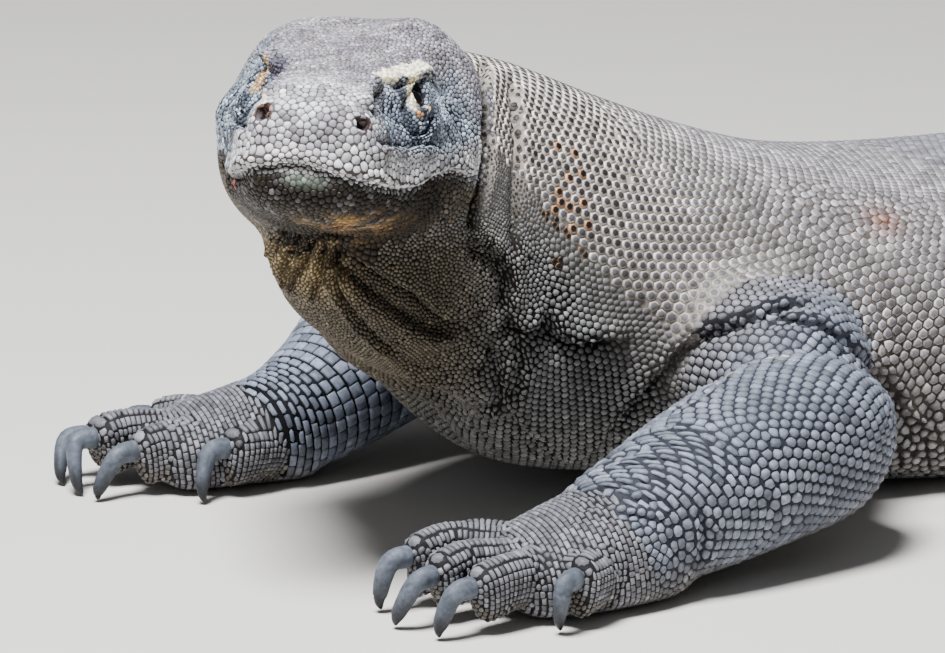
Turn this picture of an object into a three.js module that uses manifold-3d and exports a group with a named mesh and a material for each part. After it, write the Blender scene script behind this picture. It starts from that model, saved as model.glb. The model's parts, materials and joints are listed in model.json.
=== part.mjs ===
// A life-size komodo dragon, 2.6 m from snout to tail tip, lying on its belly with its chest
// propped on its forearms and its head raised and turned to its left.
// Millimetres, +Z up. The animal faces -X, its left side is -Y, and the floor is z = 0.
// The origin is on the floor, under the middle of the belly.
// Each piece is a closed loft: rings round a smooth centre line. Limbs, head and trunk are joined,
// then parted again with thin cuts where a person would name a new part of the body.

import * as THREE from "three";
import { mergeVertices } from "three/addons/utils/BufferGeometryUtils.js";
import Module from "manifold-3d";

const wasm = await Module();
wasm.setup();

// ---------------------------------------------------------------- driving dimensions
const CUT = 0.5; // width of a parting cut
const CLEARANCE = 0.5; // gap round a piece that is set in another
const FINEST = 0.2; // detail finer than this is left out of a piece
const RAD = Math.PI / 180;
const UP = new THREE.Vector3(0, 0, 1);
const v3 = (p) => new THREE.Vector3(...p);

// ---------------------------------------------------------------- lofts
// A smooth curve through rows of three numbers, read at t from 0 to 1.
const smooth = (rows) =>
  new THREE.CatmullRomCurve3(rows.map(v3), false, "catmullrom", 0.5);

// Where the rings of a loft stand, as [t, share of full size]. Its round ends are quarter circles.
function ringPlaces(rings, caps, capRings) {
  const places = [];
  const angle = (i) => ((i / (capRings + 1)) * Math.PI) / 2;
  for (let i = 1; i <= capRings; i++)
    places.push([caps[0] * (1 - Math.cos(angle(i))), Math.sin(angle(i))]);
  for (let i = 0; i <= rings; i++)
    places.push([caps[0] + ((1 - caps[0] - caps[1]) * i) / rings, 1]);
  for (let i = capRings; i >= 1; i--)
    places.push([1 - caps[1] * (1 - Math.cos(angle(i))), Math.sin(angle(i))]);
  return places;
}

// A closed loft as a solid. A station is [x, y, z, half width, height above, height below, belly].
// square is the section's exponent: 2 is an ellipse, more is boxier. A station's belly takes its
// place in the lower half. grow swells the loft all round.
function loft(stations, options = {}) {
  const { rings = 12, sides = 12, caps = [0.1, 0.1], capRings = 2 } = options;
  const { square = 2.2, belly = square } = options;
  const { up = UP, grow = 0, place = new THREE.Matrix4() } = options;
  const line = smooth(stations.map((s) => s.slice(0, 3)));
  const sizes = smooth(stations.map((s) => s.slice(3, 6)));
  const bellies = smooth(stations.map((s) => [s[6] ?? belly, 0, 0]));
  const points = [line.getPoint(0).addScaledVector(line.getTangent(0), -grow)];
  for (const [t, share] of ringPlaces(rings, caps, capRings)) {
    const along = line.getTangent(t);
    const side = new THREE.Vector3().crossVectors(up, along).normalize();
    const top = new THREE.Vector3().crossVectors(along, side);
    const size = sizes.getPoint(t);
    const under = bellies.getPoint(t).x;
    for (let k = 0; k < sides; k++) {
      const around = (2 * Math.PI * k) / sides;
      const wide = round(Math.cos(around), around > Math.PI ? under : square);
      const high = round(Math.sin(around), around > Math.PI ? under : square);
      points.push(
        line
          .getPoint(t)
          .addScaledVector(side, wide * (size.x * share + grow))
          .addScaledVector(top, high * ((high > 0 ? size.y : size.z) * share + grow)),
      );
    }
  }
  points.push(line.getPoint(1).addScaledVector(line.getTangent(1), grow));
  return solid(closedRings(points, sides).applyMatrix4(place));
}

// One coordinate of a superellipse.
const round = (x, exponent) => Math.sign(x) * Math.abs(x) ** (2 / exponent);

// Joins rings of points, with a point at each end, into a closed geometry.
function closedRings(points, sides) {
  const index = [];
  const last = points.length - 1;
  const rings = (points.length - 2) / sides;
  const at = (r, k) => 1 + r * sides + (k % sides);
  for (let k = 0; k < sides; k++) {
    index.push(0, at(0, k + 1), at(0, k), last, at(rings - 1, k), at(rings - 1, k + 1));
    for (let r = 0; r < rings - 1; r++) {
      index.push(at(r, k), at(r, k + 1), at(r + 1, k));
      index.push(at(r, k + 1), at(r + 1, k + 1), at(r + 1, k));
    }
  }
  return new THREE.BufferGeometry().setFromPoints(points).setIndex(index);
}

// A closed geometry as a solid, turned right side out.
function solid(geometry) {
  const bare = mergeVertices(geometry.deleteAttribute("normal").deleteAttribute("uv"));
  const triVerts = new Uint32Array(bare.index.array);
  const vertProperties = new Float32Array(bare.getAttribute("position").array);
  const build = () =>
    new wasm.Manifold(new wasm.Mesh({ numProp: 3, vertProperties, triVerts }));
  const made = build();
  if (made.volume() > 0) return made;
  for (let i = 0; i < triVerts.length; i += 3)
    [triVerts[i + 1], triVerts[i + 2]] = [triVerts[i + 2], triVerts[i + 1]];
  return build();
}

const joined = (solids) => solids.reduce((a, b) => a.add(b));

// Parts a solid at a plane, with a thin gap. Returns the side the normal points to, then the other.
function part(whole, point, normal) {
  const n = v3(normal).normalize();
  const offset = n.dot(v3(point));
  return [
    whole.trimByPlane(n.toArray(), offset + CUT / 2),
    whole.trimByPlane(n.clone().negate().toArray(), -offset + CUT / 2),
  ];
}

// ---------------------------------------------------------------- neck, trunk and tail
// [x, y, z, half width, height above, height below, belly] from the throat to the tail tip. The
// belly lies flat on the floor from the chest to the tail.
const SPINE = [
  [-697, -150, 248, 52, 56, 62, 2.2],
  [-655, -116, 226, 72, 97, 94, 2.2],
  [-598, -92, 196, 88, 113, 116, 2.2],
  [-520, -70, 158, 107, 116, 131, 2.2],
  [-430, -50, 130, 130, 109, 122, 2.6],
  [-325, -31, 108, 168, 99, 110, 4],
  [-205, -12, 97, 192, 90, 104, 5],
  [-80, -2, 94, 198, 86, 101, 5],
  [60, 2, 94, 196, 85, 101, 5],
  [200, 2, 94, 172, 85, 101, 4.5],
  [325, 0, 91, 130, 83, 98, 3.5],
  [440, -3, 84, 98, 77, 91, 2.8],
  [555, 0, 72, 74, 67, 79, 2.4],
  [700, 20, 58, 54, 56, 65, 2.2],
  [855, 62, 47, 40, 46, 54, 2.2],
  [1010, 106, 38, 30, 38, 45, 2.2],
  [1165, 136, 30, 22, 30, 37, 2.2],
  [1315, 136, 22, 15.5, 22, 29, 2.2],
  [1455, 103, 15, 10, 15, 22, 2.2],
  [1575, 46, 9.5, 6, 9.5, 16, 2.2],
  [1650, -8, 6, 3, 5, 12, 2.2],
];
const SPINE_LOOK = { rings: 32, sides: 16, caps: [0.03, 0.01], capRings: 1, square: 2.3 };

// ---------------------------------------------------------------- head
// In the head's own frame: +X to the snout tip, +Y to the animal's left, z = 0 on the lip at the tip.
const HEAD_LENGTH = 205;
const HEAD_PLACE = new THREE.Matrix4()
  .makeTranslation(-649, -89, 249)
  .multiply(new THREE.Matrix4().makeRotationZ(-125 * RAD))
  .multiply(new THREE.Matrix4().makeRotationY(-10 * RAD))
  .multiply(new THREE.Matrix4().makeRotationX(-4.5 * RAD));
// Distance back from the snout tip, half width, crown height and chin depth.
const HEAD = [
  [0, 32, 28, 20],
  [12, 39, 41, 30],
  [28, 46, 49, 36],
  [52, 53, 54, 40],
  [82, 61, 61, 44],
  [112, 69, 71, 50],
  [142, 79, 82, 57],
  [170, 85, 88, 64],
  [198, 84, 89, 70],
  [225, 76, 84, 68],
];
const headStations = HEAD.map(([back, wide, crown, chin]) => [
  HEAD_LENGTH - back, 0, 0, wide, crown, chin,
]);
const HEAD_LOOK = { rings: 8, sides: 14, caps: [0.06, 0.16], square: 2.6, place: HEAD_PLACE };
// The gap between the lips, as distance back from the snout tip and height.
const MOUTH = [
  [-20, 2],
  [4, -1],
  [30, -14],
  [52, -21],
  [92, -18],
  [128, -18],
  [178, -31],
  [260, -66],
];
const MOUTH_REACH = 180; // how far to each side the gap runs, past the cheeks
const NAPE = 198; // distance back from the snout tip to where the head parts from the neck
const NAPE_FACES = v3([-0.75, -0.61, 0.25]).normalize(); // halfway between head and neck
const JAW_FLOOR = 74; // how far under the lips the lower jaw parts from the throat
const EYE = { back: 103, out: 45, high: 47, radius: 10, around: 10, down: 8 };
// A block of space that holds the head with room to spare, before it is trimmed.
const HEAD_BLOCK = { size: 700, middle: [-700, -200, 250] };

// ---------------------------------------------------------------- limbs
// Stations as [x, y, z, half width, height above, height below], and digits as root, middle, end
// with a radius each, then the point of the claw. The first digit is the inner one.
const LIMBS = {
  front_left: {
    upper: [
      [-440, -84, 140, 46, 48, 56],
      [-424, -136, 122, 58, 56, 60],
      [-404, -190, 102, 60, 57, 60],
      [-370, -240, 87, 55, 50, 54],
    ],
    lower: [
      [-360, -254, 84, 46, 42, 46],
      [-420, -267, 77, 56, 54, 56],
      [-470, -279, 67, 56, 55, 54],
      [-520, -292, 56, 51, 50, 50],
      [-564, -299, 46, 44, 40, 44],
      [-596, -302, 38, 40, 34, 38],
    ],
    foot: [
      [-520, -288, 26, 36, 30, 26],
      [-560, -298, 34, 46, 40, 34],
      [-600, -302, 30, 50, 36, 30],
      [-636, -300, 26, 48, 26, 26],
      [-660, -296, 23, 40, 18, 22],
    ],
    digits: [
      [[-606, -272, 25, 14], [-640, -244, 30, 14], [-668, -242, 27, 12.5], [-686, -250, 0]],
      [[-632, -285, 32, 14], [-672, -268, 38, 14], [-704, -272, 34, 12.5], [-720, -268, 0]],
      [[-640, -304, 32, 14], [-680, -303, 36, 14], [-706, -311, 32, 12.5], [-727, -303, 0]],
      [[-632, -322, 30, 14], [-668, -335, 34, 14], [-694, -341, 31, 12.5], [-714, -338, 0]],
      [[-590, -328, 28, 14], [-612, -346, 32, 14], [-632, -359, 34, 12.5], [-641, -357, 0]],
    ],
  },
  front_right: {
    upper: [
      [-396, 36, 142, 46, 48, 56],
      [-424, 78, 124, 57, 56, 60],
      [-458, 108, 104, 57, 55, 58],
      [-486, 126, 88, 48, 46, 50],
    ],
    lower: [
      [-486, 120, 86, 42, 42, 46],
      [-520, 104, 80, 53, 53, 54],
      [-560, 82, 68, 52, 52, 52],
      [-603, 58, 54, 44, 41, 46],
      [-642, 44, 42, 38, 34, 40],
      [-672, 38, 36, 36, 31, 36],
    ],
    foot: [
      [-606, 54, 28, 34, 30, 28],
      [-640, 54, 34, 42, 34, 34],
      [-680, 58, 31, 42, 28, 31],
      [-712, 62, 27, 43, 22, 27],
      [-736, 68, 23, 38, 17, 22],
    ],
    digits: [
      [[-652, 26, 26, 14], [-680, 17, 32, 14], [-699, 14, 34, 12.5], [-719, 4, 0]],
      [[-700, 46, 32, 14], [-730, 44, 34, 14], [-752, 42, 31, 12.5], [-779, 41, 0]],
      [[-706, 66, 34, 14], [-742, 74, 37, 14], [-767, 74, 34, 12.5], [-783, 57, 0]],
      [[-702, 78, 29, 14], [-734, 94, 32, 14], [-763, 99, 29, 12.5], [-784, 86, 0]],
      [[-668, 66, 26, 14], [-682, 104, 33, 14], [-705, 128, 29, 12.5], [-728, 138, 0]],
    ],
  },
  hind_left: {
    upper: [
      [392, -70, 98, 62, 62, 66],
      [352, -130, 96, 66, 62, 66],
      [306, -190, 88, 58, 54, 58],
      [268, -240, 74, 48, 44, 48],
    ],
    lower: [
      [262, -236, 70, 42, 42, 46],
      [300, -276, 60, 48, 44, 46],
      [356, -316, 46, 38, 36, 38],
      [404, -346, 36, 32, 31, 34],
    ],
    foot: [
      [414, -346, 34, 30, 29, 34],
      [386, -374, 30, 34, 26, 30],
      [346, -402, 27, 42, 24, 27],
      [312, -424, 23, 40, 19, 23],
    ],
    digits: [
      [[330, -392, 24, 14], [302, -396, 28, 14], [276, -398, 27, 12.5], [250, -404, 0]],
      [[318, -410, 25, 14], [282, -422, 31, 14], [250, -430, 28, 12.5], [224, -440, 0]],
      [[320, -426, 25, 14], [286, -450, 32, 14], [252, -468, 28, 12.5], [230, -486, 0]],
      [[334, -436, 25, 14], [308, -472, 33, 14], [280, -506, 28, 12.5], [262, -528, 0]],
      [[362, -420, 25, 14], [362, -452, 29, 14], [352, -482, 27, 12.5], [342, -506, 0]],
    ],
  },
};
// The right hind leg mirrors the left one, a little further forward.
const HIND_LEAD = 24;
const mirrored = ([x, y, ...rest]) => [x - HIND_LEAD, -y, ...rest];
const { hind_left: h } = LIMBS;
LIMBS.hind_right = {
  upper: h.upper.map(mirrored),
  lower: h.lower.map(mirrored),
  foot: h.foot.map(mirrored),
  digits: h.digits.map((digit) => digit.map(mirrored)),
};

// ---------------------------------------------------------------- making a limb
const ARM_LOOK = { rings: 4, sides: 12, caps: [0.2, 0.25] };
const SHANK_LOOK = { rings: 5, sides: 12, caps: [0.2, 0.12], capRings: 1 };
const FOOT_LOOK = { rings: 2, sides: 10, caps: [0.2, 0.24], capRings: 1, belly: 4 };
const TOE_LOOK = { rings: 2, sides: 6, caps: [0.2, 0.16], capRings: 1, square: 2 };
const CLAW_LOOK = { rings: 2, sides: 6, caps: [0.08, 0.03], capRings: 1, square: 2 };
const CLAW_RADII = [6.6, 5.8, 4, 0.9];
const CLAW_DEEP = 1.15; // a claw's height for its width
const CLAW_ROOT = 4; // how far a claw is let into its digit
const CLAW_REACH = 13; // how far it runs on before it curves down
const CLAW_TIP = 1.2; // height of the middle of a claw's point over the floor

// A digit grows deeper to its end, where its pad nearly reaches the floor.
const toe = (digit) =>
  loft(
    digit.slice(0, 3).map(([x, y, z, r], i) => [x, y, z, r, r, [r, 0.75 * z, z - 4][i]]),
    TOE_LOOK,
  );

// A claw runs on from its digit and curves down to a point on the floor.
function claw(digit, grow = 0) {
  const [from, end, tip] = digit.slice(1).map((p) => v3(p.slice(0, 3)));
  const ahead = end.clone().sub(from).normalize();
  const start = end.clone().addScaledVector(ahead, -CLAW_ROOT);
  const reach = end.clone().addScaledVector(ahead, CLAW_REACH).setZ(end.z - 2);
  tip.z = CLAW_TIP;
  const near = tip.clone().lerp(reach, 1 / 3).addScaledVector(ahead, 3);
  const rows = [start, reach, near, tip].map((p, i) => {
    const r = CLAW_RADII[i];
    return [p.x, p.y, p.z, r, r * CLAW_DEEP, r * CLAW_DEEP];
  });
  return loft(rows, { ...CLAW_LOOK, grow });
}

// The foot is its sole and digits in one piece, with each claw let into it.
function footAndClaws(limb, shank) {
  const claws = limb.digits.map((digit) => claw(digit));
  const bed = joined(limb.digits.map((digit) => claw(digit, CLEARANCE)));
  const sole = joined([loft(limb.foot, FOOT_LOOK), ...limb.digits.map(toe)]);
  return { foot: onFloor(sole.subtract(shank).subtract(bed)), claws };
}

// Keeps what is above the floor, so that the piece stands on a flat.
const onFloor = (made) => largest(made.trimByPlane([0, 0, 1], 0));
const largest = (made) =>
  made.decompose().reduce((a, b) => (a.volume() > b.volume() ? a : b));

// ---------------------------------------------------------------- the head
// A point on the animal, from distance back from the snout tip, distance to its left and height.
const onHead = (back, left, high) =>
  new THREE.Vector3(HEAD_LENGTH - back, left, high).applyMatrix4(HEAD_PLACE);
const lowest = (made) => made.boundingBox().min[2];

// A thin wall along the line between the lips, as wide as the head.
function mouthWall() {
  const points = [onHead(MOUTH[0][0], 0, MOUTH[0][1])];
  for (const [back, high] of MOUTH)
    for (const [side, thick] of [[1, -CUT], [1, CUT], [-1, CUT], [-1, -CUT]])
      points.push(onHead(back, side * MOUTH_REACH, high + thick / 2));
  points.push(onHead(MOUTH.at(-1)[0], 0, MOUTH.at(-1)[1]));
  return solid(closedRings(points, 4));
}

function eyeball(side, grow = 0) {
  const ball = new THREE.SphereGeometry(EYE.radius + grow, EYE.around, EYE.down);
  const middle = onHead(EYE.back, side * EYE.out, EYE.high);
  return solid(ball.translate(middle.x, middle.y, middle.z));
}

// The space ahead of the nape and above the floor of the jaw. more widens it by a gap.
function headSpace(more = 0) {
  const above = new THREE.Vector3().setFromMatrixColumn(HEAD_PLACE, 2);
  const { size, middle } = HEAD_BLOCK;
  return solid(new THREE.BoxGeometry(size, size, size).translate(...middle))
    .trimByPlane(NAPE_FACES.toArray(), NAPE_FACES.dot(onHead(NAPE, 0, 0)) - more)
    .trimByPlane(above.toArray(), above.dot(onHead(NAPE, 0, -JAW_FLOOR)) - more);
}

// ---------------------------------------------------------------- head and neck
const front = loft(headStations, HEAD_LOOK).add(loft(SPINE, SPINE_LOOK));
const body = onFloor(front.subtract(headSpace(CUT)));
const [jaw, skull] = front
  .intersect(headSpace())
  .subtract(mouthWall())
  .decompose()
  .sort((a, b) => b.volume() - a.volume())
  .slice(0, 2)
  .sort((a, b) => lowest(a) - lowest(b));

// ---------------------------------------------------------------- trunk and tail
// Where the body is parted: a name for what is ahead, a point of the spine, and the way ahead.
const PARTINGS = [
  ["neck", [-486, -62, 140], [-0.93, -0.2, 0.31]],
  ["trunk_front", [60, 2, 94], [-1, 0, 0]],
  ["trunk_rear", [470, -3, 80], [-1, 0, 0.08]],
  ["tail_1", [775, 40, 52], [-0.96, -0.28, 0]],
  ["tail_2", [1085, 122, 34], [-0.97, -0.24, 0]],
  ["tail_3", [1375, 125, 19], [-0.97, 0.18, 0]],
];

// ---------------------------------------------------------------- the named pieces
const SKIN = { color: 0x6f6c68, roughness: 0.8, metalness: 0 };
const CLAW = { color: 0x4a5058, roughness: 0.5, metalness: 0 };
const EYEBALL = { color: 0x101010, roughness: 0.1, metalness: 0 };
const root = new THREE.Group();
root.name = "komodo_dragon";

function show(name, made, look = SKIN, group = root) {
  const mesh = made.simplify(FINEST).getMesh();
  const geometry = new THREE.BufferGeometry();
  geometry.setAttribute("position", new THREE.BufferAttribute(mesh.vertProperties, 3));
  geometry.setIndex(new THREE.BufferAttribute(mesh.triVerts, 1));
  geometry.computeVertexNormals();
  const item = new THREE.Mesh(geometry, new THREE.MeshStandardMaterial(look));
  item.name = name;
  group.add(item);
}

const sockets = joined([eyeball(1, CLEARANCE), eyeball(-1, CLEARANCE)]);
show("head", largest(skull.subtract(sockets)));
show("lower_jaw", jaw);
show("eye_left", eyeball(1), EYEBALL);
show("eye_right", eyeball(-1), EYEBALL);

let rest = body;
for (const [name, point, ahead] of PARTINGS) {
  const [piece, behind] = part(rest, point, ahead);
  show(name, largest(piece));
  rest = behind;
}
show("tail_4", largest(rest));

const trunk = loft(SPINE, { ...SPINE_LOOK, grow: CUT });
for (const [side, limb] of Object.entries(LIMBS)) {
  const leg = new THREE.Group();
  leg.name = side;
  root.add(leg);
  const upper = loft(limb.upper, ARM_LOOK).subtract(trunk);
  const upperSpace = loft(limb.upper, { ...ARM_LOOK, grow: CUT });
  const lower = loft(limb.lower, SHANK_LOOK).subtract(trunk).subtract(upperSpace);
  const lowerSpace = loft(limb.lower, { ...SHANK_LOOK, grow: CUT });
  const { foot, claws } = footAndClaws(limb, lowerSpace);
  show(`${side}_upper`, onFloor(upper), SKIN, leg);
  show(`${side}_lower`, onFloor(lower), SKIN, leg);
  show(`${side}_foot`, foot, SKIN, leg);
  claws.forEach((made, i) => show(`${side}_claw_${i + 1}`, onFloor(made), CLAW, leg));
}

export default root;
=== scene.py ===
# %% [markdown]
# # A komodo dragon at life size, as a museum shows one
# The animal lies on its belly with its chest propped on its forearms and its head raised and turned.
# One skin stands for all its flesh, and nearly sixty thousand scales of real mesh lie on that skin.
# The lesson goes from the outside in: where we look from, the body as smooth tubes, one skin wrapped
# round them, folds pressed into it, then scales, claws and eyes.
#
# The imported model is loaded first. It is the frame that every later piece is measured against.

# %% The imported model
import json

import bpy
import numpy as np
from mathutils import Matrix

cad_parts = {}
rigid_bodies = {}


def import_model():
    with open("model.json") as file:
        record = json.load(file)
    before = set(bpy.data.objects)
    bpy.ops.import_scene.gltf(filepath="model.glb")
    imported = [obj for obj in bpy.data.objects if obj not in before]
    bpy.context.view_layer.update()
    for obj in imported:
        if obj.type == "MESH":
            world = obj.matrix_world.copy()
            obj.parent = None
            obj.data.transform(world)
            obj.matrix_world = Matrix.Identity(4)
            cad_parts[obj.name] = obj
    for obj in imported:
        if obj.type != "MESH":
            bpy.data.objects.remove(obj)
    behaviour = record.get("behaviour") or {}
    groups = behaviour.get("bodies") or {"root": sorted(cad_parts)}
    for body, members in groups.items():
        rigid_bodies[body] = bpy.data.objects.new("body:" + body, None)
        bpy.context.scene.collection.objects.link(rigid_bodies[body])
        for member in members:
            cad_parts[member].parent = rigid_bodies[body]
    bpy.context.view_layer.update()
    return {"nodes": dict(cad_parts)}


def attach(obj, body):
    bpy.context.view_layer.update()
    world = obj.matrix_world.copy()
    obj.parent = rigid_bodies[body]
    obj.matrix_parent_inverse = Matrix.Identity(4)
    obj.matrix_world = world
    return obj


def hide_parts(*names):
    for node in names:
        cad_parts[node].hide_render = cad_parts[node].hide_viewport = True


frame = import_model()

MM = 0.001  # shapes are worked out in millimetres, and every mesh is written in metres

# %% [markdown]
# ## Where we look from
# A long lens from six metres away, a little above the animal's head, keeps its proportions true.
# The floor is a wide plain plane, and the light is what an overcast sky gives: one broad soft light
# overhead, a weaker one from the camera's side, and a pale world all round.

# %% Camera, floor and light
CAMERA_AT = (-2.380, -3.800, 1.154)
CAMERA_DOWN = 14.0  # degrees below level
CAMERA_TURN = 26.0  # degrees from +Y towards +X
LENS, SENSOR = 251.4, 36.0  # millimetres: focal length, and width of the sensor
CAMERA_SEES = 200.0  # metres
FLOOR_HALF = 30.0
FLOOR_COLOUR, FLOOR_ROUGH = (0.62, 0.60, 0.57, 1.0), 0.9
# Each light: place, turn in degrees, width and depth, watts, colour.
LIGHTS = {
    "sky": ((-1.5, -0.75, 3.3), (10, -17, 0), (1.2, 1.0), 405.0, (0.97, 0.98, 1.0)),
    "front": ((-4.5, -4.5, 2.6), (62, 0, -45), (3.0, 2.0), 15.0, (1.0, 0.98, 0.95)),
}
ROOM_COLOUR, ROOM_LIGHT = (0.80, 0.84, 0.90, 1.0), 0.17


def placed(name, data):
    """A new object in the scene."""
    thing = bpy.data.objects.new(name, data)
    bpy.context.collection.objects.link(thing)
    return thing


def add_camera():
    """A long lens on a sensor as wide as a film frame."""
    camera = placed("camera", bpy.data.cameras.new("camera"))
    camera.data.sensor_width = SENSOR
    camera.data.lens = LENS
    camera.data.clip_end = CAMERA_SEES
    camera.location = CAMERA_AT
    camera.rotation_euler = np.radians([90.0 - CAMERA_DOWN, 0.0, -CAMERA_TURN])
    bpy.context.scene.camera = camera


def add_floor():
    """A plain dull square, wide enough to fill the view."""
    mesh = bpy.data.meshes.new("floor")
    h = FLOOR_HALF
    mesh.from_pydata([(-h, -h, 0), (h, -h, 0), (h, h, 0), (-h, h, 0)], [], [(0, 1, 2, 3)])
    plain = bpy.data.materials.new("plain floor")
    plain.use_nodes = True
    shader = plain.node_tree.nodes["Principled BSDF"]
    shader.inputs["Base Color"].default_value = FLOOR_COLOUR
    shader.inputs["Roughness"].default_value = FLOOR_ROUGH
    mesh.materials.append(plain)
    placed("floor", mesh)


def add_light(name, place, turn, size, power, colour):
    """A soft rectangular light."""
    lamp = bpy.data.lights.new(name, "AREA")
    lamp.shape = "RECTANGLE"
    lamp.size, lamp.size_y = size
    lamp.energy = power
    lamp.color = colour
    light = placed(name, lamp)
    light.location = place
    light.rotation_euler = np.radians(turn)


def add_room():
    """The pale light that comes from all round."""
    world = bpy.data.worlds.new("pale room")
    bpy.context.scene.world = world
    world.use_nodes = True
    background = world.node_tree.nodes["Background"]
    background.inputs["Color"].default_value = ROOM_COLOUR
    background.inputs["Strength"].default_value = ROOM_LIGHT


add_camera()
add_floor()
for name, values in LIGHTS.items():
    add_light(name, *values)
add_room()
print("camera at", CAMERA_AT, "with a lens of", LENS, "mm, lights:", len(LIGHTS))

# %% [markdown]
# ## The body as smooth tubes
# A lizard's trunk, head and each length of its limbs are long round forms, so each is a loft: a
# smooth line with a section at every place along it. Two numbers find any point of such a tube: t
# along it and an angle round it. The same two numbers later lay the scales in rows.

# %% Curves and lofts
UP = np.array([0.0, 0.0, 1.0])
COAT = 1.5  # how far the skin lies inside the solids, to leave room for scales


def unit(vectors):
    """Vectors made one long."""
    return vectors / np.maximum(np.linalg.norm(vectors, axis=-1, keepdims=True), 1e-9)


def smooth(rows, t):
    """A Catmull-Rom curve through rows, read at t from 0 to 1.
    Between two rows it is a cubic, and its slope at a row is half the step between that row's
    neighbours. Past each end the last step is repeated."""
    rows = np.asarray(rows, float)
    ends = np.vstack([2 * rows[0] - rows[1], rows, 2 * rows[-1] - rows[-2]])
    place = np.clip(t, 0, 1) * (len(rows) - 1)
    i = np.minimum(place.astype(int), len(rows) - 2)
    w = (place - i)[..., None]
    a, b, c, d = (ends[i + k] for k in range(4))
    return b + w / 2 * ((c - a) + w * ((2 * a - 5 * b + 4 * c - d) + w * (3 * (b - c) + d - a)))


def in_box(points, line, reach):
    """Whether each point is in the box round a line, reach wider on every side."""
    return np.all((points > np.min(line, 0) - reach) & (points < np.max(line, 0) + reach), axis=1)


def tube(rows, square=2.2, belly=None, ends=(0.1, 0.1), place=None):
    """One length of the body. A row is x, y, z, half width, height above, height below."""
    table = np.array([[*row, belly or square] if len(row) == 6 else row for row in rows], float)
    return {
        "line": table[:, :3], "size": table[:, 3:6], "under": table[:, 6:],
        "square": square, "ends": ends, "place": place,
    }


def middle_of(shape, t):
    """The middle line at t, and the directions to the section's side and top."""
    line = smooth(shape["line"], t)
    ahead = unit(smooth(shape["line"], np.minimum(t + 1e-3, 1))
                 - smooth(shape["line"], np.maximum(t - 1e-3, 0)))
    side = unit(np.cross(UP, ahead))
    return line, side, np.cross(ahead, side)


def section_of(shape, t):
    """Half width, height above, height below and belly exponent at t. The round ends shrink all
    sizes by sqrt(1 - x * x), where x runs from 0 to 1 over the end."""
    start, end = shape["ends"]
    near, far = np.clip(1 - t / start, 0, 1), np.clip(1 - (1 - t) / end, 0, 1)
    share = np.sqrt(np.maximum(1 - near**2 - far**2, 0))
    return smooth(shape["size"], t) * share[..., None], smooth(shape["under"], t)[..., 0]


def into_place(place, points):
    """Points turned and moved by a place."""
    return points @ place[:3, :3].T + place[:3, 3]


def out_of_place(place, points):
    """Points turned and moved back from a place."""
    return (points - place[:3, 3]) @ place[:3, :3]


def loft(shape, t, angle, lift=0.0):
    """Points of a tube at t and angle. A section is a superellipse: its width follows
    |cos| ** (2 / n) and its height |sin| ** (2 / n), where n is 2 for an ellipse and more for a
    boxier form, with an n of its own under the belly. lift moves the surface outwards."""
    t, angle = np.broadcast_arrays(np.asarray(t, float), np.asarray(angle, float))
    line, side, top = middle_of(shape, t)
    size, under = section_of(shape, t)
    across, high = np.cos(angle), np.sin(angle)
    power = 2 / np.where(high < 0, under, shape["square"])
    half = np.where(high < 0, size[..., 2], size[..., 1])
    wide = np.sign(across) * np.abs(across) ** power * np.maximum(size[..., 0] + lift, 0)
    tall = np.sign(high) * np.abs(high) ** power * np.maximum(half + lift, 0)
    points = line + wide[..., None] * side + tall[..., None] * top
    return points if shape["place"] is None else into_place(shape["place"], points)


# %% [markdown]
# Here is the plan of this animal, the same as in the solid model. The spine's row starts at the
# throat and ends at the tip of the tail. The head has its own straight row, and is then turned and
# tilted into place.

# %% Head, spine and limbs
SPINE = tube([
    [-697, -150, 248, 52, 56, 62, 2.2],
    [-655, -116, 226, 72, 97, 94, 2.2],
    [-598, -92, 196, 88, 113, 116, 2.2],
    [-520, -70, 158, 107, 116, 131, 2.2],
    [-430, -50, 130, 130, 109, 122, 2.6],
    [-325, -31, 108, 168, 99, 110, 4],
    [-205, -12, 97, 192, 90, 104, 5],
    [-80, -2, 94, 198, 86, 101, 5],
    [60, 2, 94, 196, 85, 101, 5],
    [200, 2, 94, 172, 85, 101, 4.5],
    [325, 0, 91, 130, 83, 98, 3.5],
    [440, -3, 84, 98, 77, 91, 2.8],
    [555, 0, 72, 74, 67, 79, 2.4],
    [700, 20, 58, 54, 56, 65, 2.2],
    [855, 62, 47, 40, 46, 54, 2.2],
    [1010, 106, 38, 30, 38, 45, 2.2],
    [1165, 136, 30, 22, 30, 37, 2.2],
    [1315, 136, 22, 15.5, 22, 29, 2.2],
    [1455, 103, 15, 10, 15, 22, 2.2],
    [1575, 46, 9.5, 6, 9.5, 16, 2.2],
    [1650, -8, 6, 3, 5, 12, 2.2],
], square=2.3, ends=(0.03, 0.01))

HEAD_LENGTH = 205
HEAD_PLACE = np.array(
    Matrix.Translation((-649, -89, 249))
    @ Matrix.Rotation(np.radians(-125), 4, "Z")
    @ Matrix.Rotation(np.radians(-10), 4, "Y")
    @ Matrix.Rotation(np.radians(-4.5), 4, "X")
)
# Distance back from the snout tip, half width, crown height and chin depth.
HEAD = tube([
    [HEAD_LENGTH - back, 0, 0, wide, crown, chin]
    for back, wide, crown, chin in [
        [0, 32, 28, 20], [12, 39, 41, 30], [28, 46, 49, 36], [52, 53, 54, 40], [82, 61, 61, 44],
        [112, 69, 71, 50], [142, 79, 82, 57], [170, 85, 88, 64], [198, 84, 89, 70], [225, 76, 84, 68],
    ]
], square=2.6, ends=(0.06, 0.16), place=HEAD_PLACE)

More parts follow.
